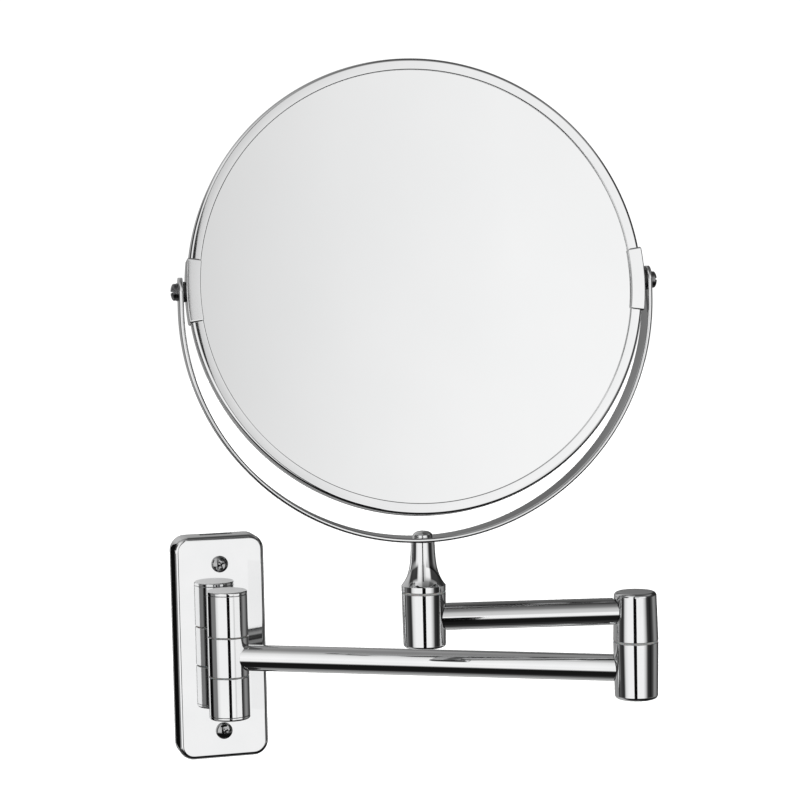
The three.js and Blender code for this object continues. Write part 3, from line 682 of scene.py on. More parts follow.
def cover_screw(side):
    low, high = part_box(f"cover_screw_{side}")
    seat = PLATE_DEPTH + HAIRLINE
    crown = -low.y / MM - seat
    tip = -high.y / MM - seat
    body = domed_screw(COVER_SCREW_HEAD, SCREW_RIM, crown, COVER_SCREW_SHANK, tip)
    turn = Matrix.Rotation(math.pi / 2, 4, "X") @ Matrix.Rotation(math.radians(COVER_SCREW_TURN), 4, "Z")
    moved(body, (0, -seat, middle_height(f"cover_screw_{side}")), turn)
    # The chrome here carries painted shade, which makes the cover screws darker than the rest of the chrome
    add(f"cover_screw_{side}", body, WALL, "wall_plate", "chrome", SHADED_SCREW_CHROME)


def lug_screw(side):
    name = f"lug_screw_{side}"
    low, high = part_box(name)
    back, tip = high.y / MM, low.y / MM
    seat = back - LUG_SCREW_HEAD_HEIGHT
    profile = [
        (0, tip), (LUG_SCREW_SHANK, tip, SCREW_TIP_EDGE), (LUG_SCREW_SHANK, seat),
        (LUG_SCREW_HEAD, seat), (LUG_SCREW_HEAD, back, 0.4), (0, back),
    ]
    body = turned(profile, "y", SMALL_AROUND)
    hexagon = rod(LUG_SOCKET, back - LUG_SOCKET_DEPTH, back + OVERCUT, "y", around=6)
    add(name, moved(cut(body, hexagon), (0, 0, middle_height(name))), WALL, "wall_plate", "steel")


# ---------------------------------------------------------------- wall plate


def through_hole(radius, height):
    return rod(radius, -PLATE_DEPTH - OVERCUT, OVERCUT, "y", at=(0, 0, height))


def block(width, depth, height, at):
    x, y, z = width / 2, depth / 2, height / 2
    corners = [(-x, -y), (x, -y), (x, y), (-x, y)]
    return moved(loft([[(a, b, side) for a, b in corners] for side in (-z, z)]), at)


def cover_plate():
    """Pressed cover, open at the back: inner walls, back rim, outer walls, rounded shoulder, front face."""
    loops = []

    def ring(inset, y):
        outline = flat_outline(PLATE_WIDTH - 2 * inset, PLATE_HEIGHT - 2 * inset, PLATE_CORNER - inset)
        loops.append([(p.x, y, p.y) for p in outline])

    inner_shoulder = 1.0
    burr = 0.1
    for inset, shift in edge_steps(inner_shoulder):
        ring(PLATE_SHEET + inset, -PLATE_DEPTH + PLATE_SHEET + shift)
    ring(PLATE_SHEET, -burr)
    ring(PLATE_SHEET - burr, 0)
    ring(burr, 0)
    ring(0, -burr)
    for inset, shift in reversed(edge_steps(PLATE_SHOULDER, 8)):
        ring(inset, -PLATE_DEPTH + shift)
    body = loft(loops)
    holes = []
    for side in SIDES:
        holes.append(through_hole(COVER_SCREW_HOLE, middle_height(f"cover_screw_{side}")))
        holes.append(through_hole(LUG_SCREW_HOLE, middle_height(f"lug_screw_{side}")))
    notch = block(NOTCH_WIDTH, 2 * NOTCH_DEPTH, 4 * PLATE_SHEET, (0, 0, PLATE_HEIGHT / 2))
    add("cover_plate", cut(body, notch, *holes), WALL, "wall_plate", "chrome")


def wall_bracket():
    """Bracket with the tongue that stands in the cover's notch."""
    size = size_of("wall_bracket")
    top = heights("wall_bracket")[1]
    tongue = block(TONGUE_WIDTH, size.y, top, (0, -size.y / 2, top / 2))
    body = join(slab(size.x, BRACKET_HEIGHT, BRACKET_CORNER, 0, -size.y), tongue)
    holes = []
    for side in SIDES:
        holes.append(through_hole(PILLAR_FOOT + PILLAR_PLAY, middle_height(f"cover_pillar_{side}")))
    for height in (WALL_HOLE_HEIGHT, -WALL_HOLE_HEIGHT):
        holes.append(through_hole(WALL_HOLE, height))
    add("wall_bracket", cut(body, *holes), WALL, "wall_plate", "steel")


def backing_strap():
    low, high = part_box("backing_strap")
    size = size_of("backing_strap")
    body = slab(size.x, size.z, STRAP_CORNER, high.y / MM, low.y / MM)
    holes = [through_hole(LUG_SCREW_HOLE, middle_height(f"lug_screw_{side}")) for side in SIDES]
    body = cut(moved(body, (0, 0, middle_height("backing_strap"))), *holes)
    add("backing_strap", body, WALL, "wall_plate", "steel")


def cover_pillar(side):
    name = f"cover_pillar_{side}"
    low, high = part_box(name)
    back, face = high.y / MM, low.y / MM
    shoulder = -size_of("wall_bracket").y - PILLAR_PLAY
    profile = [
        (PILLAR_BORE, back), (PILLAR_FOOT, back, 0.3), (PILLAR_FOOT, shoulder),
        (PILLAR, shoulder, 0.3), (PILLAR, face, 0.3), (PILLAR_BORE, face),
    ]
    body = turned(profile, "y", SMALL_AROUND, looped=True)
    add(name, moved(body, (0, 0, middle_height(name))), WALL, "wall_plate", "steel")


# ---------------------------------------------------------------- wall hinge


def barrel(low, high):
    return turned([(0, low), (BARREL, low, BARREL_CHAMFER), (BARREL, high, BARREL_CHAMFER), (0, high)])


def fixed_knuckle(side, shoulder, open_end):
    """Knuckle with its lug on the plate. The shoulder seats the bolt head or the nut, towards the open end."""
    low, high = heights(f"hinge_knuckle_{side}")
    lug_at = middle_height(f"lug_screw_{side}")
    lug_end = HINGE_OFFSET - PLATE_DEPTH - HAIRLINE
    lug = slab(LUG_WIDTH, LUG_HEIGHT, LUG_CORNER, LUG_INSIDE_BARREL, lug_end, 0.25)
    body = join(barrel(low, high), moved(lug, (0, 0, lug_at)))
    bore = rod(HINGE_BORE, low - OVERCUT, high + OVERCUT)
    pocket = rod(POCKET, min(shoulder, open_end), max(shoulder, open_end))
    thread = rod(LUG_SCREW_SHANK + 0.1, HINGE_OFFSET - LUG_THREAD_DEPTH, HINGE_OFFSET, "y", at=(0, 0, lug_at))
    add(f"hinge_knuckle_{side}", cut(body, bore, pocket, thread), HINGE, "wall_plate", "chrome")


def hinge_cap(side, outward, edge):
    """Cap with a short hollow plug that fits in the knuckle's pocket."""
    low, high = heights(f"hinge_cap_{side}")
    face, plug_end = (high, low) if outward > 0 else (low, high)
    rim = face - outward * HINGE_CAP_RIM
    plug_inner, plug_outer = POCKET - 0.9, POCKET - 0.1
    profile = [
        (0, rim), (plug_inner, rim), (plug_inner, plug_end), (plug_outer, plug_end, 0.1),
        (plug_outer, rim), (BARREL, rim, BARREL_CHAMFER), (BARREL, face, edge), (0, face),
    ]
    add(f"hinge_cap_{side}", turned(profile), HINGE, "wall_plate", "chrome")


def wall_hinge():
    low_end = heights("hinge_cap_lower")[0]
    high_end = heights("hinge_cap_upper")[1]
    fixed_knuckle("upper", high_end - HIGH_POCKET, high_end)
    fixed_knuckle("lower", low_end + LOW_POCKET, low_end)
    hinge_cap("upper", 1, UPPER_CAP_EDGE)
    hinge_cap("lower", -1, LOWER_CAP_EDGE)
    for side in SIDES:
        low, high = heights(f"hinge_washer_{side}")
        body = washer(HINGE_BORE, BARREL - 0.3, low, high)
        add(f"hinge_washer_{side}", body, HINGE, "wall_plate", "nylon")


# ---------------------------------------------------------------- arms


def spigot(tube, start, end):
    """Stub that plugs into a tube, at the tube's height."""
    profile = [(0, start), (SPIGOT, start, 0.4), (SPIGOT, end, 0.4), (0, end)]
    return moved(turned(profile, "x", SMALL_AROUND), (0, 0, middle_height(tube)))


def arm_tube(name, place, rides, length, start_radius, end_radius):
    """Hollow tube, its ends scribed to the knuckles' barrels."""
    height = middle_height(name)
    overlap = 3
    tube = washer(TUBE - TUBE_WALL, TUBE, start_radius - overlap, length - end_radius + overlap, axis="x")
    reach = 2 * TUBE
    tools = []
    for x, radius in ((0, start_radius), (length, end_radius)):
        tools.append(rod(radius + HAIRLINE, height - reach, height + reach, around=AROUND, at=(x, 0, 0)))
    add(name, cut(moved(tube, (0, 0, height)), *tools), place, rides, "chrome")


def middle_knuckle():
    low, high = heights("hinge_knuckle_middle")
    body = join(barrel(low, high), spigot("long_arm_tube", SPIGOT_START, SPIGOT_LENGTH))
    bore = rod(BUSH_BORE, low - OVERCUT, high + OVERCUT)
    add("hinge_knuckle_middle", cut(body, bore), LONG, "long_arm", "chrome")


def elbow_knuckle(side, seam, end, end_radius, pocket_floor, bore, tube, place, rides, at, spigot_to):
    """Tapered knuckle, widest at the seam, with a rounded outer edge and a pocket in its end."""
    low, high = min(seam, end), max(seam, end)
    outward = 1 if end > seam else -1
    profile = [(0, seam), (ELBOW_WIDE, seam, SEAM_EDGE), (end_radius, end, ELBOW_EDGE), (0, end)]
    start, stop = sorted((math.copysign(SPIGOT_START, spigot_to), spigot_to))
    body = join(turned(profile), spigot(tube, start, stop))
    hole = rod(bore, low - OVERCUT, high + OVERCUT)
    pocket = rod(POCKET, *sorted((pocket_floor, end + outward * OVERCUT)))
    body = moved(cut(body, hole, pocket), (at, 0, 0))
    add(f"elbow_knuckle_{side}", body, place, rides, "chrome")


def disc_cap(name, outward, pocket, at, place, rides):
    """Thin disc that closes a pocket, flush with the knuckle's end."""
    low, high = heights(name)
    face, inner = (high, low) if outward > 0 else (low, high)
    radius = pocket - HAIRLINE
    profile = [(0, inner), (radius, inner), (radius, face, 0.03), (0, face)]
    add(name, moved(turned(profile), (at, 0, 0)), place, rides, "chrome")


def seam_washer(name, wide, at, place, rides):
    """Pale ring in a seam, a little narrower than the pieces above and below it."""
    low, high = heights(name)
    ring = washer(HINGE_BORE, wide - SEAM_RING_INSET, low, high, SEAM_RING_EDGE)
    add(name, moved(ring, (at, 0, 0)), place, rides, "nylon")


def elbow():
    bottom = heights("elbow_cap_lower")[0]
    top = heights("elbow_cap_upper")[1]
    low, high = heights("elbow_washer")
    elbow_knuckle("lower", low - HAIRLINE, bottom, ELBOW_BOTTOM_RADIUS, bottom + ELBOW_LOW_POCKET, HINGE_BORE,
                  "long_arm_tube", LONG, "long_arm", LONG_ARM, -SPIGOT_LENGTH)
    elbow_knuckle("upper", high + HAIRLINE, top, ELBOW_TOP_RADIUS, top - ELBOW_HIGH_POCKET, BUSH_BORE,
                  "short_arm_tube", SHORT, "short_arm", 0, SPIGOT_LENGTH)
    disc_cap("elbow_cap_lower", -1, POCKET, LONG_ARM, LONG, "long_arm")
    disc_cap("elbow_cap_upper", 1, POCKET, 0, SHORT, "short_arm")
    seam_washer("elbow_washer", ELBOW_WIDE, LONG_ARM, LONG, "long_arm")


def post():
    """Post on the end of the short arm, its cap below and the washer that the neck turns on."""
    bottom = heights("post_cap")[0]
    low, high = heights("swivel_washer")
    seam = low - HAIRLINE
    profile = [(0, bottom), (POST_BOTTOM_RADIUS, bottom, POST_EDGE), (POST_RADIUS, seam, SEAM_EDGE), (0, seam)]
    body = join(turned(profile), spigot("short_arm_tube", -SPIGOT_LENGTH, -SPIGOT_START))
    bore = rod(POST_BORE, bottom - OVERCUT, high)
    pocket = rod(POST_POCKET, bottom - OVERCUT, bottom + POST_POCKET_DEPTH)
    add("post_body", moved(cut(body, bore, pocket), (SHORT_ARM, 0, 0)), SHORT, "short_arm", "chrome")
    disc_cap("post_cap", -1, POST_POCKET, SHORT_ARM, SHORT, "short_arm")
    seam_washer("swivel_washer", POST_RADIUS, SHORT_ARM, SHORT, "short_arm")


# ---------------------------------------------------------------- neck and yoke


def swivel_neck():
    """Neck that rises from a short band and narrows to its stem as a decaying curve."""
    seam = heights("swivel_washer")[1] + HAIRLINE
    top = heights("swivel_neck")[1]
    band = seam + NECK_BAND
    profile = [(0, seam), (POST_RADIUS, seam, SEAM_EDGE)]
    steps, crowding = 40, 1.3
    for k in range(steps + 1):
        rise = (top - band) * (k / steps) ** crowding
        profile.append((NECK_RADIUS + (POST_RADIUS - NECK_RADIUS) * math.exp(-rise / NECK_FLARE), band + rise))
    profile.append((0, top))
    lower = rod(SWIVEL_BORE, seam - OVERCUT, seam + SWIVEL_THREAD)
    upper = rod(YOKE_THREAD, top - YOKE_THREAD_DEPTH, top + OVERCUT)
    add("swivel_neck", cut(turned(profile), lower, upper), YOKE, "yoke", "chrome")


def yoke_stations():
    """(place, outward direction, half width) along the strip, from the left tip round to the right tip."""
    half = YOKE_WIDTH / 2
    middle = YOKE_HALF_SPAN - YOKE_SHEET / 2
    tip_steps, leg_steps, arc_steps = 12, 3, 160
    down = []
    for k in range(tip_steps + 1):
        angle = YOKE_TIP_START + (math.pi / 2 - YOKE_TIP_START) * k / tip_steps
        down.append((PIVOT_HEIGHT + half * math.cos(angle), half * math.sin(angle)))
    for k in range(1, leg_steps):
        down.append((PIVOT_HEIGHT + (YOKE_CENTRE - PIVOT_HEIGHT) * k / leg_steps, half))
    left = [((-middle, z), (-1, 0), width) for z, width in down]
    right = [((middle, z), (1, 0), width) for z, width in reversed(down)]
    arc = []
    for k in range(arc_steps + 1):
        angle = math.pi + math.pi * k / arc_steps
        out = (math.cos(angle), math.sin(angle))
        arc.append(((middle * out[0], YOKE_CENTRE + middle * out[1]), out, half))
    return left + arc + right


def yoke_strip():
    rings = []
    for (x, z), (out_x, out_z), half in yoke_stations():
        edge = min(YOKE_EDGE, half * 0.6)
        thick = YOKE_SHEET / 2
        corners = [(-half, -thick, edge), (half, -thick, edge), (half, thick, edge), (-half, thick, edge)]
        section = fillet(corners, closed=True, steps=4)
        rings.append([(x + out_x * p.y, p.x, z + out_z * p.y) for p in section])
    reach = 2 * YOKE_HALF_SPAN
    across = rod(PIVOT_SHANK + YOKE_PLAY, -reach, reach, "x", at=(0, 0, PIVOT_HEIGHT))
    screw_hole = rod(YOKE_SCREW_HOLE, YOKE_BOTTOM - OVERCUT, YOKE_BOTTOM + YOKE_SHEET + OVERCUT)
    add("yoke_strip", cut(loft(rings), across, screw_hole), YOKE, "yoke", "chrome")


def yoke_screw():
    low, high = heights("yoke_screw")
    seat = YOKE_BOTTOM + YOKE_SHEET + HAIRLINE
    body = domed_screw(YOKE_SCREW_HEAD, SCREW_RIM, high - seat, YOKE_SCREW_SHANK, low - seat)
    add("yoke_screw", moved(body, (0, 0, seat)), YOKE, "yoke", "chrome")


# ---------------------------------------------------------------- mirror head


def swept(section_at, start, end, stations):
    """A body swept round the mirror's axis: section_at(angle) gives (radius, y) points at each station."""
    rings = []
    for k in range(stations + 1):
        angle = start + (end - start) * k / stations
        rings.append([(r * math.cos(angle), y, r * math.sin(angle)) for r, y in section_at(angle)])
    return loft(rings)


def hoop_section():
    half = RING_DEPTH / 2
    inner = half - RING_SHEET
    wall = RING_RADIUS - RING_SHEET
    soft, hard = LIP_EDGE, LIP_BACK_EDGE
    return fillet([
        (RING_LIP, -half, soft), (RING_RADIUS, -half, RING_CORNER), (RING_RADIUS, half, RING_CORNER),
        (RING_LIP, half, soft), (RING_LIP, inner, hard), (wall, inner), (wall, -inner), (RING_LIP, -inner, hard),
    ], closed=True, steps=5)


def pivot_hole(play):
    return rod(PIVOT_SHANK + play, -2 * RING_RADIUS, 2 * RING_RADIUS, "x")


def half_hoop(side, start):
    section = [(p.x, p.y) for p in hoop_section()]
    gap = HALF_GAP / RING_RADIUS
    body = swept(lambda angle: section, start + gap, start + math.pi - gap, RING_AROUND // 2)
    add(f"hoop_{side}", cut(body, pivot_hole(HOOP_PLAY)), MIRROR, "mirror", "chrome")


def sleeve_section(angle, middle):
    """The clip's section. Near its two ends it thins, and the lips are drawn back, which rounds their corners."""
    from_end = max(0.0, (SLEEVE_HALF_ANGLE - abs(angle - middle)) * RING_RADIUS)
    sheet = SLEEVE_SHEET - max(0.0, SLEEVE_EDGE - from_end) * 0.5
    inner = RING_RADIUS + SLEEVE_GAP
    outer = inner + sheet
    face = RING_DEPTH / 2 + SLEEVE_GAP
    back = face + sheet
    short = max(0.0, SLEEVE_CORNER - from_end)
    drawn = SLEEVE_CORNER - math.sqrt(max(0.0, SLEEVE_CORNER ** 2 - short ** 2))
    lip = RING_LIP - SLEEVE_GAP + drawn
    soft = sheet * 0.6
    hard = sheet * 0.1
    return [(p.x, p.y) for p in fillet([
        (lip, -back, soft), (outer, -back, SLEEVE_OUTER_EDGE), (outer, back, SLEEVE_OUTER_EDGE), (lip, back, soft),
        (lip, face, hard), (inner, face), (inner, -face), (lip, -face, hard),
    ], closed=True, steps=4)]


def pivot_sleeve(side, middle):
    start, end = middle - SLEEVE_HALF_ANGLE, middle + SLEEVE_HALF_ANGLE
    body = swept(lambda angle: sleeve_section(angle, middle), start, end, 96)
    add(f"pivot_sleeve_{side}", cut(body, pivot_hole(SLEEVE_PLAY)), MIRROR, "mirror", "chrome")


def plain_glass():
    front = -RING_DEPTH / 2 + RING_SHEET + FRONT_GLASS_GAP
    back = front + GLASS_SHEET
    profile = [(0, front), (GLASS_RADIUS, front, GLASS_CHAMFER), (GLASS_RADIUS, back, GLASS_CHAMFER), (0, back)]
    add("glass_plain", turned(profile, "y", RING_AROUND), MIRROR, "mirror", "mirror_glass")


def magnifying_glass():
    rim = RING_DEPTH / 2 - RING_SHEET - BACK_GLASS_GAP
    steps = 48
    dish = []
    for k in range(steps + 1):
        share = k / steps
        dish.append((GLASS_RADIUS * share, rim - GLASS_HOLLOW * (1 - share ** 2)))
    back = [(radius, along - GLASS_SHEET) for radius, along in reversed(dish)]
    add("glass_magnifying", turned([*dish, *back], "y", RING_AROUND), MIRROR, "mirror", "mirror_glass")


def pivot_hardware(side, sign):
    """Spacer, washer and slotted screw on one side, drawn along +X and turned round for the left."""
    turn = Matrix.Identity(4) if sign > 0 else Matrix.Rotation(math.pi, 4, "Z")
    inner = RING_RADIUS + SLEEVE_GAP + SLEEVE_SHEET + HAIRLINE
    yoke_inner = YOKE_HALF_SPAN - YOKE_SHEET - HAIRLINE
    spacer = washer(PIVOT_BORE, PIVOT_SPACER, inner, yoke_inner, 0.15, "x", SMALL_AROUND)
    washer_end = YOKE_HALF_SPAN + PIVOT_WASHER
    brim = PIVOT_HEAD + PIVOT_WASHER_BRIM
    ring = washer(PIVOT_BORE, brim, YOKE_HALF_SPAN + HAIRLINE, washer_end, 0.12, "x", SMALL_AROUND)
    seat = washer_end + HAIRLINE
    tip = RING_RADIUS - PIVOT_TIP_INSET - seat
    screw = domed_screw(PIVOT_HEAD, 1, PIVOT_CROWN, PIVOT_SHANK, tip, recess=False)
    screw = cut(screw, block(SLOT_WIDTH, 3 * PIVOT_HEAD, 2 * SLOT_DEPTH, (0, 0, PIVOT_CROWN)))
    moved(screw, (seat, 0, 0), AXIS_TURNS["x"])
    for name, body, slot in (
        ("pivot_spacer", spacer, "black_plastic"),
        ("pivot_washer", ring, "dark_steel"),
        ("pivot_screw", screw, "dark_steel"),
    ):
        add(f"{name}_{side}", moved(body, turn=turn), MIRROR, "mirror", slot)


# ---------------------------------------------------------------- studio and camera

# Elevations are in degrees from the horizon. Directions round the object are in degrees too: 0 is straight in
# front of it, and + is to the right as seen from there.

# Brightness of the surroundings by elevation, in front of the object and behind it.
FRONT_LIGHT = (
    (-90, 0.03), (-74, 0.03), (-66, 0.01), (-30, 0.008), (-23, 0.12), (-14, 0.74), (2, 0.95), (11, 1.0),
    (20, 0.95), (27, 0.92), (44, 0.82), (53, 0.62), (61, 0.48), (69, 0.34), (75, 0.25), (90, 0.2),
)
BACK_LIGHT = (
    (-90, 0.06), (-75, 0.22), (-64, 0.36), (-46, 0.48), (-20, 0.34), (0, 0.3), (10, 0.5), (36, 0.42), (66, 0.26),
    (90, 0.2),
)
# How far the light behind takes over from the light in front, by direction.
BEHIND = ((-180, 1), (-116, 1), (-88, 0), (88, 0), (116, 1), (180, 1))

# Brightness near the horizon by direction, and the elevations where it counts instead of the above.
HORIZON_LIGHT = (
    (-180, 0.3), (-136, 0.26), (-122, 0.14), (-110, 0.07), (-96, 0.03), (-86, 0.03), (-76, 0.75), (-60, 0.95),
    (18, 0.95), (30, 0.6), (42, 0.04), (60, 0.012), (74, 0.05), (92, 0.27), (108, 0.2), (122, 0.06), (160, 0.06),
    (176, 0.3), (180, 0.3),
)
HORIZON_BAND = ((-90, 0), (-25, 0), (-15, 1), (0, 1), (8, 0), (90, 0))

# Each band of elevations keeps only a share of its light, by direction.
# From just above the horizon to half-way up: screens on both sides, and a little less light straight in front.
MIDDLE_BAND = ((-90, 0), (2, 0), (9, 1), (32, 1), (46, 0), (90, 0))
MIDDLE_SHARE = (
    (-180, 1), (-132, 1), (-118, 0.08), (-66, 0.04), (-52, 1), (-40, 1), (-22, 0.72), (-3, 0.64), (0, 0.78),
    (3, 0.89), (7, 0.97), (14, 1), (34, 1), (46, 0.05), (150, 0.05), (162, 0.6), (180, 0.9),
)
# Well below the horizon: dark at the back right.
DOWN_BAND = ((-90, 0), (-78, 0), (-68, 1), (-16, 1), (-12, 0), (90, 0))
DOWN_SHARE = ((-180, 1), (86, 1), (94, 0.15), (146, 0.15), (156, 1), (180, 1))
# Just above the horizon, which the caps of the barrel reflect by way of the wall plate: less on the right.
LOW_BAND = ((-90, 0), (-3, 0), (0, 1), (9.7, 1), (11, 0), (90, 0))
LOW_SHARE = ((-180, 1), (8, 1), (10.5, 0.56), (30, 0.56), (42, 0.05), (150, 0.05), (162, 1), (180, 1))
# High up, where most of the light comes from the left.
HIGH_BAND = ((-90, 0), (30, 0), (46, 1), (90, 1))
HIGH_SHARE = (
    (-180, 1), (-34, 1), (-22, 0.36), (24, 0.36), (36, 0.15), (56, 0.15), (70, 0.3), (160, 0.3), (172, 1), (180, 1),
)

BACKGROUND_WHITE = 1.1
SCREEN_BLACK = 0.004
SUN_STRENGTH = 4.6
SUN_SPREAD = 70
SUN_TILT = (28, -12, 0)


def grey(light):
    return light, light, light, 1


def ramp(tree, value, stops, low, high):
    """A colour ramp over angles from low to high, with (angle, brightness) stops."""
    spread = tree.nodes.new("ShaderNodeMapRange")
    spread.inputs["From Min"].default_value = low
    spread.inputs["From Max"].default_value = high
    tree.links.new(value, spread.inputs["Value"])
    node = tree.nodes.new("ShaderNodeValToRGB")
    elements = node.color_ramp.elements
    while len(elements) < len(stops):
        elements.new(0.5)
    for element, (angle, light) in zip(elements, stops):
        element.position = (angle - low) / (high - low)
        element.color = grey(light)
    tree.links.new(spread.outputs["Result"], node.inputs["Fac"])
    return node.outputs["Color"]


def calculate(tree, operation, one, two=None):
    node = tree.nodes.new("ShaderNodeMath")
    node.operation = operation
    for i, value in enumerate((one, two)):
        if isinstance(value, (int, float)):
            node.inputs[i].default_value = value
        elif value is not None:
            tree.links.new(value, node.inputs[i])
    return node.outputs["Value"]


def mixed(tree, one, two, share=1.0, how="MIX"):
    """Two colours mixed. The share is how much of the second one, or of the multiplication, comes in."""
    node = tree.nodes.new("ShaderNodeMix")
    node.data_type = "RGBA"
    node.blend_type = how
    colours = [socket for socket in node.inputs if socket.type == "RGBA"]
    for socket, value in zip((node.inputs["Factor"], *colours), (share, one, two)):
        if isinstance(value, (float, tuple)):
            socket.default_value = value
        else:
            tree.links.new(value, socket)
    return next(socket for socket in node.outputs if socket.type == "RGBA")


def surroundings():
    """Soft white panels in front, dark gaps beside and below them, a grey room behind.

    Only reflections see them. The camera sees plain white.
    """
    world = bpy.data.worlds.new("studio")
    bpy.context.scene.world = world
    world.use_nodes = True
    tree = world.node_tree
    tree.nodes.clear()
    direction = tree.nodes.new("ShaderNodeTexCoord").outputs["Generated"]
    parts = tree.nodes.new("ShaderNodeSeparateXYZ")
    tree.links.new(direction, parts.inputs["Vector"])
    degrees = 180 / math.pi
    forward = calculate(tree, "MULTIPLY", parts.outputs["Y"], -1.0)
    around = calculate(tree, "ARCTAN2", parts.outputs["X"], forward)
    around = calculate(tree, "MULTIPLY", around, degrees)
    height = calculate(tree, "ARCSINE", parts.outputs["Z"])
    height = calculate(tree, "MULTIPLY", height, degrees)

    front = ramp(tree, height, FRONT_LIGHT, -90, 90)
    back = ramp(tree, height, BACK_LIGHT, -90, 90)
    horizon = ramp(tree, around, HORIZON_LIGHT, -180, 180)
    behind = ramp(tree, around, BEHIND, -180, 180)
    level = ramp(tree, height, HORIZON_BAND, -90, 90)
    light = mixed(tree, front, back, behind)
    for band, shares in (
        (MIDDLE_BAND, MIDDLE_SHARE), (DOWN_BAND, DOWN_SHARE), (LOW_BAND, LOW_SHARE), (HIGH_BAND, HIGH_SHARE),
    ):
        within = ramp(tree, height, band, -90, 90)
        share = ramp(tree, around, shares, -180, 180)
        light = mixed(tree, light, mixed(tree, grey(1), share, within), how="MULTIPLY")
    light = mixed(tree, light, horizon, level)
    seen = tree.nodes.new("ShaderNodeLightPath").outputs["Is Camera Ray"]
    light = mixed(tree, light, grey(BACKGROUND_WHITE), seen)
    shader = tree.nodes.new("ShaderNodeBackground")
    tree.links.new(light, shader.inputs["Color"])
    output = tree.nodes.new("ShaderNodeOutputWorld")
    tree.links.new(shader.outputs["Background"], output.inputs["Surface"])


def pale_floor_finish():
    material = bpy.data.materials.new("pale_floor")
    material.use_nodes = True
    shader = material.node_tree.nodes["Principled BSDF"]
    shader.inputs["Base Color"].default_value = grey(0.9)
    shader.inputs["Roughness"].default_value = 0.9
    shader.inputs["Specular IOR Level"].default_value = 0.0
    return material


def stage_sheet(name, points, faces, material):
    mesh = bpy.data.meshes.new(name)
    mesh.from_pydata(points, [], faces)
    mesh.materials.append(material)
    sheet = bpy.data.objects.new(name, mesh)
    bpy.context.scene.collection.objects.link(sheet)
    return sheet


def floor():
    """Pale floor well below the object. The chrome sees the studio's dark lower half instead of it."""
    reach, drop = 6.0, 0.25  # metres
    z = cad_box[0][2] - drop
    corners = [(-reach, -reach, z), (reach, -reach, z), (reach, reach, z), (-reach, reach, z)]
    sheet = stage_sheet("floor", corners, [(0, 1, 2, 3)], pale_floor_finish())
    sheet.visible_glossy = False


def card_material(name, light):
    """Plain light of the given brightness on the side that a card faces; nothing at all from its back.

    Towards an unlit border the card grows clear.
    """
    material = bpy.data.materials.new(name)
    material.use_nodes = True
    tree = material.node_tree
    tree.nodes.clear()
    emission = tree.nodes.new("ShaderNodeEmission")
    emission.inputs["Color"].default_value = grey(light)
    clear = tree.nodes.new("ShaderNodeBsdfTransparent")
    mix = tree.nodes.new("ShaderNodeMixShader")
    output = tree.nodes.new("ShaderNodeOutputMaterial")
    lit = tree.nodes.new("ShaderNodeAttribute")
    lit.attribute_name = "lit"
    unlit = calculate(tree, "SUBTRACT", 1.0, lit.outputs["Fac"])
    backfacing = tree.nodes.new("ShaderNodeNewGeometry").outputs["Backfacing"]
    tree.links.new(calculate(tree, "MAXIMUM", backfacing, unlit), mix.inputs["Fac"])
    tree.links.new(emission.outputs["Emission"], mix.inputs[1])
    tree.links.new(clear.outputs["BSDF"], mix.inputs[2])
    tree.links.new(mix.outputs["Shader"], output.inputs["Surface"])
    return material


def card(name, start, end, low, high, light, border=0):
    """Upright card between two (x, y) points, in millimetres, facing left when you walk from start to end.

    It only shows in the chrome. It fades out over its border, a share of its width and height.
    """
    shares = (0, border, 1 - border, 1) if border else (0, 1)
    count = len(shares)
    points = []
    lit = []
    for up in shares:
        for along in shares:
            x, y = (a + (b - a) * along for a, b in zip(start, end))
            points.append((x * MM, y * MM, (low + (high - low) * up) * MM))
            lit.append(1.0 if not border or (0 < up < 1 and 0 < along < 1) else 0.0)
    faces = []
    for row in range(count - 1):
        for k in range(row * count, row * count + count - 1):
            faces.append((k + count, k + count + 1, k + 1, k))
    sheet = stage_sheet(name, points, faces, card_material(name, light))
    sheet.data.attributes.new("lit", "FLOAT", "POINT").data.foreach_set("value", lit)
    sheet.visible_camera = False
    sheet.visible_shadow = False
    sheet.visible_diffuse = False


def cards():
    """Black screens and white boards around the chrome, as a studio sets them for a product shot."""
    edge = -PLATE_WIDTH / 2
    card("screen_beside_plate", (edge - 1, 3), (edge - 60, 3), -90, 60, SCREEN_BLACK)
    card("screen_by_camera", (-150, -640), (25, -640), -400, -20, SCREEN_BLACK)
    card("screen_high", (-150, -640), (-45, -640), -20, 650, 0.03)
    card("screen_behind_right", (275, 30), (60, 30), 20, 205, 0.1, border=0.45)
    card("board_left_of_barrel", (-60, -12), (-60, -42), -60, 40, 0.2)
    card("board_right_of_barrel", (28, -83), (50.3, -60.7), -45, 30, 0.9)


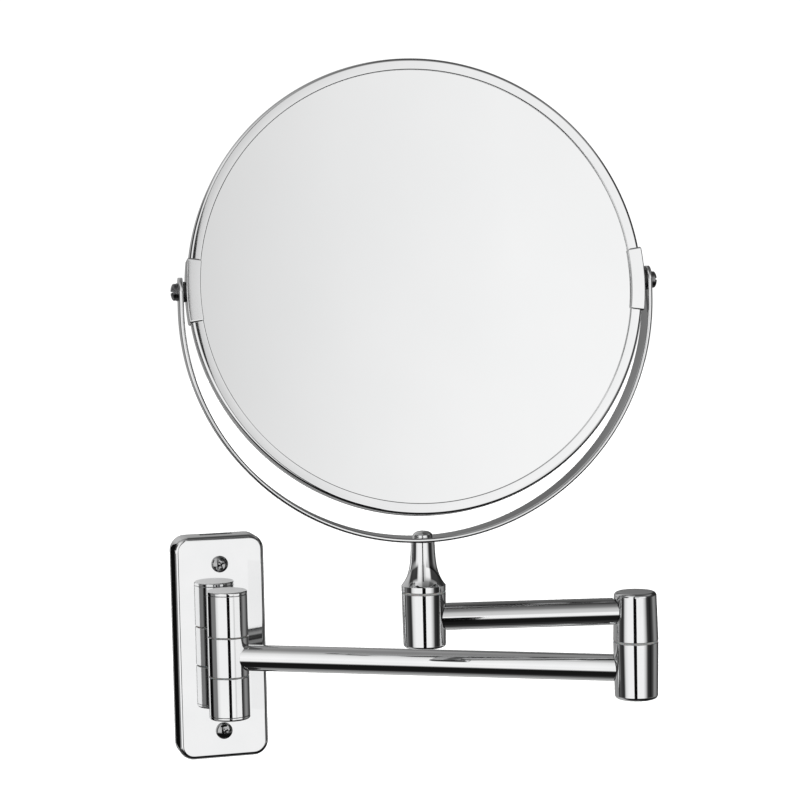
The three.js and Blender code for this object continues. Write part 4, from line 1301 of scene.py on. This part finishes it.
def soft_light():
    """Broad overhead light that brightens the floor and the plastics; it has no outline in the chrome."""
    data = bpy.data.lights.new("overhead", "SUN")
    data.energy = SUN_STRENGTH
    data.angle = math.radians(SUN_SPREAD)
    lamp = bpy.data.objects.new("overhead", data)
    lamp.rotation_euler = [math.radians(tilt) for tilt in SUN_TILT]
    bpy.context.scene.collection.objects.link(lamp)
    lamp.visible_glossy = False


def camera():
    data = bpy.data.cameras.new("camera")
    data.lens = CAMERA_LENS
    data.sensor_width = CAMERA_SENSOR
    data.clip_end = CAMERA_CLIP_METRES
    view = bpy.data.objects.new("camera", data)
    bpy.context.scene.collection.objects.link(view)
    azimuth, down, roll = (math.radians(v) for v in (CAMERA_AZIMUTH, CAMERA_DOWN, CAMERA_ROLL))
    flat = math.cos(down)
    ahead = Vector((math.sin(azimuth) * flat, math.cos(azimuth) * flat, -math.sin(down)))
    level_right = Vector((math.cos(azimuth), -math.sin(azimuth), 0))
    level_up = level_right.cross(ahead)
    right = level_right * math.cos(roll) + level_up * math.sin(roll)
    up = level_up * math.cos(roll) - level_right * math.sin(roll)
    turn = Matrix((right, up, -ahead)).transposed().to_4x4()
    view.matrix_world = Matrix.Translation(Vector(CAMERA_PLACE) * MM) @ turn
    bpy.context.scene.camera = view


# ---------------------------------------------------------------- assembly

camera()
surroundings()
soft_light()
floor()
cards()
finish_kept_nodes()

cover_plate()
wall_bracket()
backing_strap()
for side in SIDES:
    cover_pillar(side)
    cover_screw(side)
    lug_screw(side)
wall_hinge()
middle_knuckle()
arm_tube("long_arm_tube", LONG, "long_arm", LONG_ARM, BARREL, ELBOW_WIDE)
elbow()
arm_tube("short_arm_tube", SHORT, "short_arm", SHORT_ARM, ELBOW_WIDE, POST_RADIUS)
post()
swivel_neck()
yoke_strip()
yoke_screw()
half_hoop("upper", 0)
half_hoop("lower", math.pi)
plain_glass()
magnifying_glass()
for side, sign, middle in (("right", 1, 0), ("left", -1, math.pi)):
    pivot_sleeve(side, middle)
    pivot_hardware(side, sign)

bpy.context.scene.view_settings.view_transform = "Standard"
